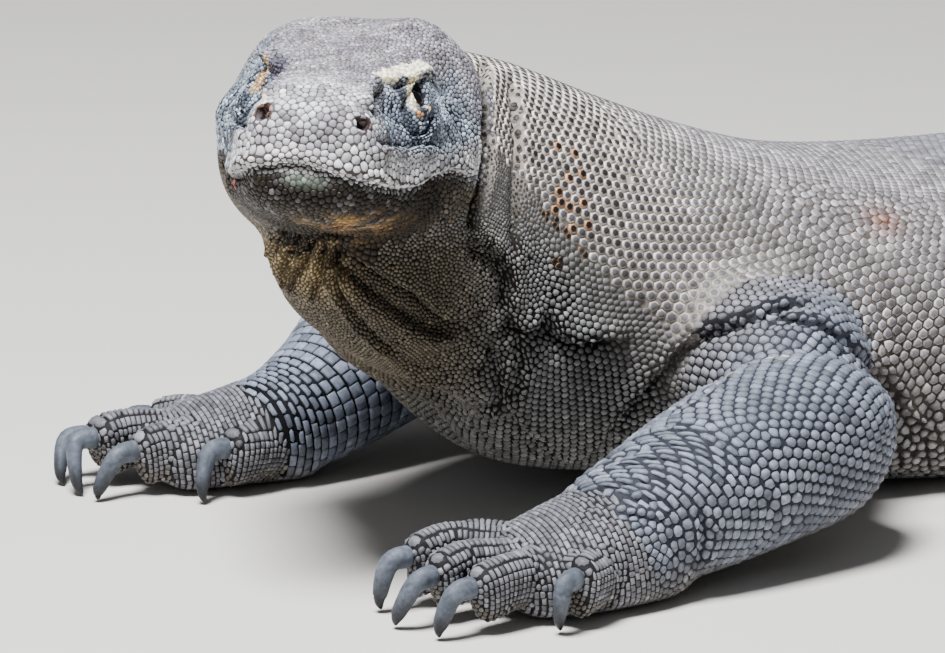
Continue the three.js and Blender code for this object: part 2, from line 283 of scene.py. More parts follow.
# Each limb: upper part, lower part, foot, then digits as root, middle, end and point of the claw.
LIMBS = {
    "front_left": {
        "upper": [[-440, -84, 140, 46, 48, 56], [-424, -136, 122, 58, 56, 60],
                  [-404, -190, 102, 60, 57, 60], [-370, -240, 87, 55, 50, 54]],
        "lower": [[-360, -254, 84, 46, 42, 46], [-420, -267, 77, 56, 54, 56],
                  [-470, -279, 67, 56, 55, 54], [-520, -292, 56, 51, 50, 50],
                  [-564, -299, 46, 44, 40, 44], [-596, -302, 38, 40, 34, 38]],
        "foot": [[-520, -288, 26, 36, 30, 26], [-560, -298, 34, 46, 40, 34],
                 [-600, -302, 30, 50, 36, 30], [-636, -300, 26, 48, 26, 26],
                 [-660, -296, 23, 40, 18, 22]],
        "digits": [
            [[-606, -272, 25], [-640, -244, 30], [-668, -242, 27], [-686, -250, 0]],
            [[-632, -285, 32], [-672, -268, 38], [-704, -272, 34], [-720, -268, 0]],
            [[-640, -304, 32], [-680, -303, 36], [-706, -311, 32], [-727, -303, 0]],
            [[-632, -322, 30], [-668, -335, 34], [-694, -341, 31], [-714, -338, 0]],
            [[-590, -328, 28], [-612, -346, 32], [-632, -359, 34], [-641, -357, 0]],
        ],
    },
    "front_right": {
        "upper": [[-396, 36, 142, 46, 48, 56], [-424, 78, 124, 57, 56, 60],
                  [-458, 108, 104, 57, 55, 58], [-486, 126, 88, 48, 46, 50]],
        "lower": [[-486, 120, 86, 42, 42, 46], [-520, 104, 80, 53, 53, 54],
                  [-560, 82, 68, 52, 52, 52], [-603, 58, 54, 44, 41, 46],
                  [-642, 44, 42, 38, 34, 40], [-672, 38, 36, 36, 31, 36]],
        "foot": [[-606, 54, 28, 34, 30, 28], [-640, 54, 34, 42, 34, 34],
                 [-680, 58, 31, 42, 28, 31], [-712, 62, 27, 43, 22, 27],
                 [-736, 68, 23, 38, 17, 22]],
        "digits": [
            [[-652, 26, 26], [-680, 17, 32], [-699, 14, 34], [-719, 4, 0]],
            [[-700, 46, 32], [-730, 44, 34], [-752, 42, 31], [-779, 41, 0]],
            [[-706, 66, 34], [-742, 74, 37], [-767, 74, 34], [-783, 57, 0]],
            [[-702, 78, 29], [-734, 94, 32], [-763, 99, 29], [-784, 86, 0]],
            [[-668, 66, 26], [-682, 104, 33], [-705, 128, 29], [-728, 138, 0]],
        ],
    },
    "hind_left": {
        "upper": [[392, -70, 98, 62, 62, 66], [352, -130, 96, 66, 62, 66],
                  [306, -190, 88, 58, 54, 58], [268, -240, 74, 48, 44, 48]],
        "lower": [[262, -236, 70, 42, 42, 46], [300, -276, 60, 48, 44, 46],
                  [356, -316, 46, 38, 36, 38], [404, -346, 36, 32, 31, 34]],
        "foot": [[414, -346, 34, 30, 29, 34], [386, -374, 30, 34, 26, 30],
                 [346, -402, 27, 42, 24, 27], [312, -424, 23, 40, 19, 23]],
        "digits": [
            [[330, -392, 24], [302, -396, 28], [276, -398, 27], [250, -404, 0]],
            [[318, -410, 25], [282, -422, 31], [250, -430, 28], [224, -440, 0]],
            [[320, -426, 25], [286, -450, 32], [252, -468, 28], [230, -486, 0]],
            [[334, -436, 25], [308, -472, 33], [280, -506, 28], [262, -528, 0]],
            [[362, -420, 25], [362, -452, 29], [352, -482, 27], [342, -506, 0]],
        ],
    },
}
HIND_LEAD = 24  # the right hind leg mirrors the left one, this much further forward


def mirrored(row):
    """A row of the left hind leg, as it is on the right one."""
    return [row[0] - HIND_LEAD, -row[1], *row[2:]]


LIMBS["hind_right"] = {
    part: [[mirrored(row) for row in rows] if part == "digits" else mirrored(rows) for rows in table]
    for part, table in LIMBS["hind_left"].items()
}
TOE_RADII = (14, 14, 12.5)


def digit_tube(digit):
    """A digit grows deeper to its end, where its pad nearly reaches the floor."""
    below = (TOE_RADII[0], 0.75 * digit[1][2], digit[2][2] - 4)
    rows = [[*row, r, r, deep] for row, r, deep in zip(digit[:3], TOE_RADII, below)]
    return tube(rows, square=2, ends=(0.2, 0.16))


TUBES = {"head": HEAD, "spine": SPINE}
for limb, parts in LIMBS.items():
    TUBES[f"{limb}_upper"] = tube(parts["upper"], ends=(0.2, 0.25))
    TUBES[f"{limb}_lower"] = tube(parts["lower"], ends=(0.2, 0.12))
    TUBES[f"{limb}_foot"] = tube(parts["foot"], belly=4, ends=(0.2, 0.24))
    for number, digit in enumerate(parts["digits"], 1):
        TUBES[f"{limb}_digit_{number}"] = digit_tube(digit)
print("tubes:", len(TUBES))

# %% [markdown]
# ## One skin round everything
# On the animal the skin runs over head, trunk and limbs without a seam. We join closed tubes into
# one mesh and let a voxel remesh melt them together. Voxels are all one size, but the face and the
# hands need finer ones. So space itself is stretched there before the remesh, like a magnifying
# glass, and shrunk back after it.

# %% Meshes in and out of Blender
def mesh_object(name, points, faces):
    """A mesh object from arrays: points in millimetres, faces as rows of 3 or 4 corners."""
    mesh = bpy.data.meshes.new(name)
    faces = np.asarray(faces)
    corners = faces.shape[1]
    mesh.vertices.add(len(points))
    mesh.vertices.foreach_set("co", (np.asarray(points) * MM).astype(np.float32).ravel())
    mesh.loops.add(faces.size)
    mesh.loops.foreach_set("vertex_index", faces.astype(np.int32).ravel())
    mesh.polygons.add(len(faces))
    mesh.polygons.foreach_set("loop_start", np.arange(0, faces.size, corners, dtype=np.int32))
    mesh.update(calc_edges=True)
    return placed(name, mesh)


def points_of(mesh):
    """A mesh's points in millimetres."""
    flat = np.empty(len(mesh.vertices) * 3, np.float32)
    mesh.vertices.foreach_get("co", flat)
    return flat.reshape(-1, 3).astype(float) / MM


def with_modifiers(thing):
    """The mesh that a thing's modifiers make of it."""
    graph = bpy.context.evaluated_depsgraph_get()
    return bpy.data.meshes.new_from_object(thing.evaluated_get(graph))


def ring_faces(rings, sides):
    """Triangles on rings of points that follow each other, and at each end a fan round a pole. The
    two poles come after all the rings."""
    r, k = np.meshgrid(np.arange(rings - 1), np.arange(sides), indexing="ij")
    a, b = (r * sides + k).ravel(), (r * sides + (k + 1) % sides).ravel()
    around, following = np.arange(sides), (np.arange(sides) + 1) % sides
    base, first = (rings - 1) * sides, rings * sides
    return np.concatenate([
        np.stack([a, a + sides, b + sides], 1),
        np.stack([a, b + sides, b], 1),
        np.stack([np.full(sides, first), around, following], 1),
        np.stack([base + following, base + around, np.full(sides, first + 1)], 1),
    ])


ROUND_END = 10  # steps over each round end of a tube
TO_A_POINT = -1e3  # a lift that shrinks a section to nothing


def tube_mesh(shape, rings=90, sides=72, lift=-COAT):
    """A closed mesh of a tube: rings of points from end to end, with a point at each pole. Rings
    crowd together over the round ends, at 1 - cos of equal angles."""
    start, end = shape["ends"]
    bend = 1 - np.cos(np.linspace(0, np.pi / 2, ROUND_END)[1:-1])
    t = np.concatenate([start * bend, np.linspace(start, 1 - end, rings), 1 - end * bend[::-1]])
    angle = np.linspace(0, 2 * np.pi, sides, endpoint=False)
    ring = loft(shape, t[:, None], angle[None, :], lift).reshape(-1, 3)
    poles = loft(shape, np.array([0.0, 1.0]), np.zeros(2), TO_A_POINT)
    return np.vstack([ring, poles]), ring_faces(len(t), sides)


# %% Stretched space
# Centre, strength and reach of each magnifying glass: the head, the two hands, the two hind feet.
GLASSES = [
    ((-706, -172, 265), 2.0, 190),
    ((-655, -302, 40), 1.0, 110),
    ((-722, 66, 40), 1.0, 110),
    ((318, -436, 30), 0.7, 120),
    ((294, 436, 30), 0.7, 120),
]
NEWTON_ROUNDS = 12
VOXEL = 6.8  # millimetres of stretched space


def through(points, glass, back=False):
    """Moves points away from a glass's centre: distance r becomes r * (1 + k / (1 + (r / R) ** 2)).
    Back again, r is found from that formula by Newton's method."""
    centre, strength, reach = glass
    offset = points - np.array(centre, float)
    far = np.maximum(np.linalg.norm(offset, axis=1), 1e-6)
    if not back:
        return centre + offset * (1 + strength / (1 + (far / reach) ** 2))[:, None]
    r = far / (1 + strength / (1 + (far / reach) ** 2))
    for _ in range(NEWTON_ROUNDS):
        u = (r / reach) ** 2
        value = r * (1 + strength / (1 + u)) - far
        slope = 1 + strength * (1 - u) / (1 + u) ** 2
        r = np.maximum(r - value / slope, 0)
    return centre + offset * (r / far)[:, None]


def stretch(points, back=False):
    """Through every glass in turn. Each centre after the first is where the earlier ones put it."""
    glasses = []
    for centre, strength, reach in GLASSES:
        moved = np.array([centre], float)
        for glass in glasses:
            moved = through(moved, glass)
        glasses.append((moved[0], strength, reach))
    for glass in reversed(glasses) if back else glasses:
        points = through(points, glass, back)
    return points


def wrap_skin():
    """All tubes in one mesh, remeshed in stretched space and brought back."""
    points, faces, count = [], [], 0
    for shape in TUBES.values():
        more, triangles = tube_mesh(shape)
        points.append(more)
        faces.append(triangles + count)
        count += len(more)
    bare = mesh_object("tubes", stretch(np.vstack(points)), np.vstack(faces))
    melt = bare.modifiers.new("melt", "REMESH")
    melt.mode = "VOXEL"
    melt.voxel_size = VOXEL * MM
    mesh = with_modifiers(bare)
    skin = stretch(points_of(mesh), back=True)
    quads = np.empty(len(mesh.polygons) * 4, np.int32)
    mesh.polygons.foreach_get("vertices", quads)
    bpy.data.objects.remove(bare)
    return skin, quads.reshape(-1, 4)


skin, quads = wrap_skin()
print("wrapped:", len(skin), "points,", len(quads), "four-sided faces")

# %% [markdown]
# ## Softening the joins
# Tubes meet at a sharp crease, but skin is drawn smoothly over a shoulder or a hip. Points that lie
# deeper than their neighbours are raised a little, again and again, which fills each crease with a
# round web and leaves round forms alone.

# %% Smoothing
def edges_of(faces):
    """Each edge once, as pairs of point numbers."""
    pairs = np.sort(np.stack([faces, np.roll(faces, -1, axis=1)], -1).reshape(-1, 2), axis=1)
    keys = np.unique(pairs[:, 0].astype(np.int64) << 32 | pairs[:, 1])
    return np.stack([keys >> 32, keys & 0xFFFFFFFF], 1)


def mean_of_neighbours(values, edges):
    """At each point the mean of the values at the points that its edges lead to."""
    a, b = edges.T
    ends, others = np.concatenate([a, b]), np.concatenate([b, a])
    count = np.bincount(ends, minlength=len(values))
    sums = [np.bincount(ends, values[others, axis], len(values)) for axis in range(values.shape[1])]
    return np.stack(sums, 1) / np.maximum(count, 1)[:, None]


def normals_of(points, faces):
    """The normal at each point: the sum of its faces' normals, each the cross product of the two
    diagonals, made one long."""
    a, b, c, d = (points[faces[:, k]] for k in range(4))
    face = np.cross(c - a, d - b)
    corner, whole = faces.T.ravel(), np.tile(face, (4, 1))
    return unit(np.stack([np.bincount(corner, whole[:, k], len(points)) for k in range(3)], 1))


FILL, SLIDE = 0.9, 0.2  # how far a point goes towards its neighbours' mean: outwards, and sideways
EASE = (0.5, -0.52) * 4  # steps to the mean and back, which even the surface and keep its size


def soften(points, faces, edges):
    """Fills creases, and takes the voxels' steps out of the surface."""
    for number in range(30):
        toward = mean_of_neighbours(points, edges) - points
        if number % 5 == 0:
            normal = normals_of(points, faces)
        out = np.sum(toward * normal, axis=1, keepdims=True)
        points = points + normal * np.maximum(out, 0) * FILL + (toward - normal * out) * SLIDE
    for share in EASE:
        points = points + share * (mean_of_neighbours(points, edges) - points)
    return points


def largest_piece(points, faces):
    """Only the biggest connected piece: each point takes the smallest number among its neighbours'
    until nothing changes, so that a piece ends with one number. Sealed hollows go this way."""
    edges = edges_of(faces)
    a, b = edges.T
    label = np.arange(len(points))
    while True:
        low = np.minimum(label[a], label[b])
        new = label.copy()
        np.minimum.at(new, a, low)
        np.minimum.at(new, b, low)
        new = new[new]
        if np.array_equal(new, label):
            break
        label = new
    keep = label == np.bincount(label).argmax()
    number = np.cumsum(keep) - 1
    return points[keep], number[faces[keep[faces[:, 0]]]]


skin, quads = largest_piece(skin, quads)
edges = edges_of(quads)
skin = soften(skin, quads, edges)
skin_normal = normals_of(skin, quads)
print("skin:", len(skin), "points,", len(quads), "four-sided faces")

# %% [markdown]
# ## Folds
# Old skin hangs in folds at the throat and creases where a limb bends. Each fold is a smooth line
# through a few places on the body, with a width and a depth: points near the line are pressed in,
# and a soft roll may be raised along one side. On the head, places are told as distance back from
# the tip of the snout, distance to the left, and height, so that both sides can share them.

# %% Places on the head
def on_head(places):
    """Head places (back, left, high) as points of the animal."""
    places = np.asarray(places, float)
    local = np.stack([HEAD_LENGTH - places[..., 0], places[..., 1], places[..., 2]], -1)
    return into_place(HEAD_PLACE, local)


def head_places(points):
    """Points of the animal as head places (back, left, high)."""
    local = out_of_place(HEAD_PLACE, points)
    return np.stack([HEAD_LENGTH - local[:, 0], local[:, 1], local[:, 2]], 1)


def bump(x):
    """1 at x = 0, falling smoothly to nearly 0 at 2: exp(-x * x)."""
    return np.exp(-np.minimum(x * x, 40))


def step(x, low, high):
    """0 below low, 1 above high, and a smooth S between."""
    x = np.clip((x - low) / (high - low), 0, 1)
    return x * x * (3 - 2 * x)


# %% Creases
SNAP = 25  # how far a line may be drawn to the skin
FINENESS = 16  # places read along a line for each of its points
FOLD_REACH = 6  # how many widths from its line a fold still moves the skin
FOLD_ENDS = 0.12  # the share of its length over which a fold fades at each end
ROLL_LEAN = 0.5  # how many widths a roll leans over its groove


def near_line(points, line, reach):
    """The points within reach of a smooth line: which they are, how far they lie from it, where
    along it (0 to 1), and the nearest place on it. The line is first drawn onto the skin, to the
    nearest point of it, and evened out by a running mean of 7."""
    path = smooth(line, np.linspace(0, 1, FINENESS * len(line)))
    which = np.flatnonzero(in_box(points, path, reach + SNAP))
    gap = np.linalg.norm(points[which, None, :] - path[None, :, :], axis=2)
    path = points[which[gap.argmin(0)]]
    padded = np.pad(path, ((3, 3), (0, 0)), mode="edge")
    path = sum(padded[k:k + len(path)] for k in range(7)) / 7
    gap = np.linalg.norm(points[which, None, :] - path[None, :, :], axis=2)
    nearest = gap.argmin(1)
    return which, gap.min(1), nearest / (len(path) - 1), path[nearest]


def crease(points, normal, line, width, depth, roll, side=None):
    """A groove, and beside it a roll. At s widths from the line, towards side, the skin sinks by
    depth * exp(-(s / 1.6) ** 2) where s < 0, and rises by roll * s * exp(1 - s) where s > 0, which
    is steep at the line and slow beyond it. The roll leans over the groove. With no side the groove
    is even and has a small roll on both sides. Both fade at the line's ends."""
    which, gap, along, nearest = near_line(points, line, FOLD_REACH * width)
    fade = step(along, 0, FOLD_ENDS) * step(1 - along, 0, FOLD_ENDS)
    if side is None:
        s = gap / width
        rise = roll * bump((s - 2.0) / 0.9) - depth * bump(s)
        points[which] += normal[which] * (fade * rise)[:, None]
        return
    side = np.array(side, float)
    out = normal[which]
    across = unit(side - out * (out @ side)[:, None])
    s = gap / width * np.tanh(((points[which] - nearest) * across).sum(1) / (0.3 * width))
    hill = np.maximum(s, 0) * np.exp(1 - np.maximum(s, 0))
    sunk = bump(np.minimum(s, 0) / 1.6) * (1 - step(s, -0.2, 0.8))
    over = ROLL_LEAN * width * bump((s - 0.7) / 0.8)
    edge = step(FOLD_REACH - gap / width, 0, 1.5)
    points[which] += out * (fade * edge * (roll * hill - depth * sunk))[:, None]
    points[which] -= across * (fade * over)[:, None]


# %% Folds of the neck, throat, shoulder and wrist
# Each fold: its line, width, depth and height of the roll, and the way to it if it has one side.
BACK, FORE, OVER, BELOW = (1, 0, 0), (-1, 0, 0), (0, 0, 1), (0, 0, -1)

# Ropes of loose skin that hang from under the chin: the grooves between them.
ROPES = [
    ([[-724, -140, 214], [-721, -123, 204], [-722, -112, 193], [-722, -104, 184]],
     2.3, 5, 2.6),
    ([[-720, -150, 214], [-716, -135, 203], [-719, -126, 190], [-715, -111, 172]],
     2.3, 5, 2.6),
    ([[-714, -160, 214], [-710, -146, 204], [-712, -140, 193], [-715, -131, 182], [-713, -118, 168]],
     2.3, 5.4, 2.8),
    ([[-708, -165, 213], [-705, -153, 202], [-704, -151, 191], [-706, -147, 181], [-707, -137, 167]],
     2.3, 5.4, 2.8),
    ([[-700, -164, 208], [-699, -158, 200], [-698, -157, 189], [-695, -158, 177], [-688, -158, 165],
      [-677, -157, 151], [-665, -157, 140], [-650, -155, 127]], 2.8, 5.6, 3),
]
BODY_FOLDS = [
    # behind the jaw: the neck's skin hangs over the head's
    ([[-566, -101, 301], [-588, -140, 293], [-595, -158, 276], [-597, -166, 258], [-604, -173, 235],
      [-610, -177, 220], [-612, -178, 205]], 3.5, 8.5, 3.5, BACK),
    # a second one behind it
    ([[-559, -116, 294], [-565, -139, 282], [-570, -153, 266], [-575, -164, 246], [-579, -170, 226],
      [-582, -174, 204], [-584, -176, 182]], 3.5, 5, 3, BACK),
    # down beside the throat, a flap of neck over a dark pocket
    ([[-618, -178, 204], [-606, -178, 199], [-596, -177, 193], [-589, -177, 182], [-587, -177, 168],
      [-588, -176, 152]], 4.5, 9, 5, BACK),
    # two hanging rolls where the neck meets the chest
    ([[-588, -174, 152], [-581, -174, 145], [-573, -174, 142], [-566, -174, 144], [-560, -174, 152]],
     4.5, 8, 6, OVER),
    ([[-561, -174, 152], [-557, -174, 143], [-549, -173, 134], [-540, -173, 129], [-528, -173, 129],
      [-516, -173, 129], [-500, -173, 127]], 4.5, 8, 6, OVER),
    # the long shelf of skin from the chin to the corner of the throat
    ([[-712, -176, 220], [-703, -169, 215], [-691, -166, 203], [-678, -173, 191], [-667, -177, 183],
      [-656, -177, 178], [-644, -176, 165], [-633, -175, 157], [-620, -175, 155], [-604, -175, 157]],
     5, 9, 7, OVER),
    # the second shelf, below it
    ([[-701, -155, 201], [-694, -160, 190], [-686, -164, 181], [-675, -167, 172], [-660, -168, 160],
      [-646, -169, 150], [-634, -170, 144], [-622, -172, 146]], 4, 5, 5, BELOW),
    ([[-694, -163, 168], [-680, -162, 155], [-664, -160, 140], [-648, -158, 127], [-632, -160, 121]],
     4, 3.5, 3.5, OVER),
    # the pouch of the throat, hanging over the chest
    ([[-646, -138, 103], [-637, -142, 103], [-628, -147, 103], [-619, -152, 104], [-611, -156, 107],
      [-604, -161, 113], [-600, -167, 124], [-597, -170, 138]], 5, 9, 5, (-1, 0, 0.6)),
    ([[-591, -169, 126], [-587, -164, 111], [-581, -160, 100], [-580, -154, 88], [-587, -142, 76]],
     4, 6, 3, BACK),
    ([[-581, -173, 139], [-573, -171, 128], [-572, -167, 114], [-573, -162, 99], [-577, -156, 88]],
     4, 5, 3, BACK),
    # the chest's own lower edge
    ([[-579, -154, 90], [-568, -149, 76], [-558, -144, 66], [-545, -136, 53], [-530, -129, 43],
      [-518, -128, 39], [-509, -135, 44], [-503, -146, 53], [-498, -157, 68]], 5, 5, 4, OVER),
    # round the shoulder: the trunk's skin over the arm's
    ([[-507, -148, 52], [-499, -158, 69], [-489, -168, 87], [-478, -178, 107], [-470, -186, 120],
      [-462, -195, 130], [-454, -204, 136], [-446, -211, 140], [-435, -215, 145], [-423, -218, 148],
      [-405, -217, 151], [-385, -217, 147]], 4, 7, 3.5, OVER),
    ([[-439, -221, 137], [-427, -225, 142], [-415, -229, 144], [-403, -232, 143], [-385, -235, 135],
      [-368, -232, 119], [-348, -215, 105], [-334, -203, 96], [-323, -198, 86], [-314, -197, 72],
      [-307, -195, 56], [-300, -192, 38]], 3.2, 5.5, 2.5, (0.6, 0, 1)),
    # the bend of the arm
    ([[-527, -279, 104], [-512, -280, 110], [-500, -277, 114], [-485, -268, 118], [-468, -250, 119],
      [-456, -246, 121], [-445, -254, 126], [-436, -258, 129]], 3.5, 8, 2, (-0.4, -1, 0)),
    # wrinkles over the wrist
    ([[-590, -296, 72], [-577, -304, 82], [-557, -314, 87], [-537, -329, 84]], 2.2, 1.8, 0.8),
    ([[-597, -303, 65], [-586, -315, 73], [-564, -326, 78], [-542, -337, 73]], 2.2, 1.8, 0.8),
    ([[-609, -314, 61], [-594, -318, 65], [-574, -332, 69], [-543, -340, 62]], 2.2, 1.8, 0.8),
    ([[-623, -321, 55], [-605, -326, 59], [-582, -334, 60], [-551, -341, 53]], 2.2, 1.8, 0.8),
    ([[-581, -292, 79], [-565, -296, 87], [-549, -304, 93], [-534, -321, 94]], 2.2, 1.8, 0.8),
    ([[-564, -275, 85], [-550, -286, 94], [-539, -298, 100], [-528, -311, 100]], 2.2, 1.8, 0.8),
    ([[-537, -340, 62], [-533, -341, 47], [-533, -338, 35], [-535, -336, 24]], 3.5, 4, 2),
    # fine upright folds low on the flank
    ([[-304, -196, 74], [-300, -197, 52], [-298, -196, 30], [-296, -192, 12]], 2.6, 2.6, 1.4),
    ([[-292, -198, 70], [-288, -198, 50], [-286, -197, 28], [-285, -193, 12]], 2.6, 2.4, 1.2),
    ([[-281, -198, 66], [-277, -199, 46], [-274, -198, 26], [-273, -194, 12]], 2.6, 2.2, 1.2),
    ([[-269, -199, 58], [-264, -200, 42], [-261, -199, 24], [-260, -195, 12]], 2.6, 2, 1),
]

# The throat is drawn in above the chest: place, reach and height of each hollow.
BODY_MOUNDS = [((-682, -91, 125), 28, -8), ((-658, -100, 106), 28, -10), ((-637, -122, 92), 24, -8),
               ((-612, -120, 75), 25, -23), ((-629, -66, 78), 28, -12), ((-600, -80, 58), 28, -14)]



def mound(points, normal, place, reach, height):
    """Raises the skin round a place by height * exp(-(gap / reach) ** 2), or presses it in."""
    gap = np.linalg.norm(points - place, axis=1)
    points += normal * (height * bump(gap / reach))[:, None]


def press_body_folds(points, normal):
    """All hollows and folds of neck, chest, shoulder and arm."""
    for place, reach, height in BODY_MOUNDS:
        mound(points, normal, place, reach, height)
    for fold in BODY_FOLDS + ROPES:
        crease(points, normal, *fold)


print("folds of the body:", len(BODY_FOLDS), "ropes:", len(ROPES), "hollows:", len(BODY_MOUNDS))

# %% [markdown]
# ## The face
# The head is broad and flat on top, with a hard ridge of brow over each eye and a hollow in front
# of it. The nostrils open near the tip of the snout. The upper lip hangs over the lower one, and the
# cheek behind the mouth is a round muscle. Broad forms are raised or pressed first, then the lips,
# brows and lids as creases, and last the openings for eyes, nostrils and ears.

# %% Broad forms of the head
# Place (back, left, high), reach and height. A negative height presses in. Both sides get each one.
MOUNDS = [
    ((60, 44, 33), 20, -11),  # hollow between nostril and eye
    ((78, 50, 36), 12, -3.5),   # the same, nearer the eye
    ((40, 30, 47), 12, -1.5),   # slope above it
    ((12, 30, 26), 11, 2.5),    # swollen rim of the nostril
    ((150, 18, 86), 46, -3),  # the crown is flat
    ((138, 70, 50), 19, -8.5),  # hollow behind the brow
    ((85, 33, 56), 8, 2.5),     # brow, front
    ((101, 41, 58), 7, 4.5),    # brow, middle knob
    ((119, 50, 60), 8, 5),    # brow, hind knob
    ((88, 56, 31), 8, 2.5),     # bag under the eye
    ((150, 80, -2), 24, 1.5),   # cheek muscle
    ((126, 70, -20), 16, -3), # behind the corner of the mouth
    ((165, 66, 52), 18, 3),   # temple
    ((22, 42, -1), 12, 2.5),    # upper lip, near the snout
    ((45, 49, -3), 14, 2.5),    # upper lip, before the eye
    ((80, 60, -1), 16, 3),    # upper lip, under the eye
    ((108, 67, 2), 12, 2),    # upper lip, behind the eye
    ((10, 14, -18), 14, -1.5),  # below the front of the lower lip
    ((70, 52, -34), 22, 2),   # side of the chin
]
# The crown is a little higher on the left: these stand on one side only.
LEANING = [((156, -14, 85), 30, -4), ((162, 36, 82), 24, 9.5), ((162, -75, 52), 17, -9),
           ((160, -84, 14), 16, 3.5)]


def on_side(place, hand):
    """Places told for the left side, as they are for hand 1 and mirrored for hand -1."""
    return np.multiply(place, [1, hand, 1])


# %% Creases of the face
# As the folds, with lines told for the left side. Both sides get each one.
FACE_LINES = [
    # under the brow, over the eye
    ([[74, 31, 52], [82, 39, 50], [92, 44, 52], [106, 49, 54], [119, 54, 55], [130, 58, 52]],
     1.9, 2.6, 2.6, OVER),
    # the hard edge of the snout, from nostril to brow, over the hollow
    ([[22, 37, 36], [38, 35, 44], [56, 34, 49], [74, 33, 53]], 3.4, 3.5, 4.4, OVER),
    # the fold in front of the upper lid
    ([[100, 48, 51], [90, 47, 47], [81, 47, 42], [76, 48, 36]], 1.8, 2.4, 1.4, FORE),
    # the pocket under the eye
    ([[66, 47, 36], [69, 52, 28], [73, 55, 22], [82, 58, 20], [92, 61, 23], [100, 62, 28],
      [108, 63, 34]], 2.2, 4.2, 1.6, BELOW),
    ([[76, 53, 32], [84, 57, 28], [93, 59, 30], [101, 60, 35]], 1.6, 1.6, 0.9, BELOW),
    # wrinkles behind the eye, running down and back
    ([[122, 66, 44], [130, 72, 32], [136, 75, 18], [138, 77, 6]], 2, 2, 1.2),
    ([[130, 66, 47], [139, 73, 34], [146, 77, 20], [148, 79, 8]], 2, 1.8, 1),
    ([[112, 65, 28], [120, 69, 20], [126, 72, 12], [128, 74, 4]], 2, 1.8, 1),
    ([[140, 68, 48], [150, 74, 36], [156, 78, 22], [158, 80, 10]], 2, 1.5, 1),
    # from the nostril down to the lip, and along over the lip scales
    ([[15, 38, 17], [28, 44, 14], [48, 50, 14], [70, 56, 13], [91, 62, 14], [106, 66, 11],
      [118, 70, 6]], 2.8, 3.8, 3, BELOW),
    # upright wrinkles in the hollow before the eye
    ([[68, 38, 48], [62, 43, 40], [57, 46, 32], [54, 49, 23]], 1.6, 2, 1),
    ([[58, 36, 47], [50, 40, 39], [44, 43, 31], [42, 45, 22]], 1.6, 2, 1),
    ([[48, 34, 45], [38, 37, 38], [32, 40, 30], [31, 42, 21]], 1.6, 1.6, 0.8),
    ([[76, 41, 47], [68, 47, 38], [63, 50, 30]], 1.6, 2, 1),
    # the middle of the chin, and the ends of the lower lip
    ([[20, 10, -26], [50, 14, -38], [84, 16, -46]], 2.2, 1.6, 0.6),
    ([[100, 66, -18], [112, 68, -26], [120, 68, -36]], 2.4, 2.4, 1.4),
    ([[118, 70, -16], [130, 72, -26], [138, 72, -38]], 2.4, 2.2, 1.4),
]


def shape_face(points, normal):
    """The broad forms first, then the creases."""
    for place, reach, height in MOUNDS:
        for hand in (1, -1):
            mound(points, normal, on_head(on_side(place, hand)), reach, height)
    for place, reach, height in LEANING:
        mound(points, normal, on_head(place), reach, height)
    for line, *sizes in FACE_LINES:
        for hand in (1, -1):
            crease(points, normal, on_head(on_side(line, hand)), *sizes)


# %% Lips
# The line of the mouth on the left side (1) and on the right (-1), from the snout back.
LIPS = {
    1: [[-3, 0, -1], [2, 18, -5], [12, 38, -9], [29, 46, -11], [58, 54, -14], [79, 60, -12],
        [96, 65, -7], [115, 71, -4], [135, 78, -4], [158, 83, -8]],
    -1: [[-3, 0, -1], [2, -18, -4], [12, -38, -9], [29, -46, -15], [58, -54, -20], [79, -60, -20],
         [103, -66, -20], [125, -74, -16], [150, -82, -14]],
}
LIP_REACH = 16


def shape_lips(points, normal):
    """The upper lip hangs over the groove between the lips and the lower lip draws back under it."""
    for hand, line in LIPS.items():
        which, gap, along, nearest = near_line(points, on_head(line), LIP_REACH)
        above = (points[which] - nearest) @ HEAD_PLACE[:3, 2]
        fade = step(1 - along, 0, 0.08)
        out = 2.2 * bump((above - 5) / 4) - 1.6 * bump((above + 4) / 5) - 5.5 * bump(gap / 2.3)
        same = np.sign(head_places(points[which])[:, 1]) == hand
        edge = step(LIP_REACH - gap, 0, 6)
        points[which] += normal[which] * (out * fade * same * edge)[:, None]


# %% Eyes, nostrils and ears
EYE_RADIUS, EYE_DEEP = 10.0, 1.8  # the ball, and how far it lies under the lids
# Places are (back, left, high). Sizes are half length, half height, depth, rim and tilt in degrees.
EYE, EYE_SIZE = (98, 52.5, 45.5), (11.0, 6.2, 6.5, 1.2, 42.0)
EAR, EAR_SIZE = (166, 82, 22), (4.0, 9.0, 6.0, 0.8, 0.0)
NOSTRIL = {1: (11, 31, 26), -1: (8, -29, 26)}
NOSTRIL_SIZE = {1: (5.0, 4.4, 9.0, 1.0, 0.0), -1: (4.2, 5.6, 9.0, 1.0, 0.0)}


def in_oval(points, way, place, long, high, tilt):
    """How far out points are in an oval on the head that faces along way: 1 on its edge. x and y
    are the distances from its middle along the head and up, in half sizes."""
    back = -HEAD_PLACE[:3, 0]
    back = unit(back - way * (back @ way))
    up = np.cross(way, back)
    up = up * np.sign(up @ HEAD_PLACE[:3, 2])
    turn = np.radians(tilt)
    offset = points - on_head(place)
    x = (offset @ back * np.cos(turn) + offset @ up * np.sin(turn)) / long
    y = (offset @ up * np.cos(turn) - offset @ back * np.sin(turn)) / high
    deep = offset @ way / (3 * max(long, high))
    return np.sqrt(x * x + y * y + deep**4)


OVALS = []  # every opening made: the way it faces, place, half sizes and tilt


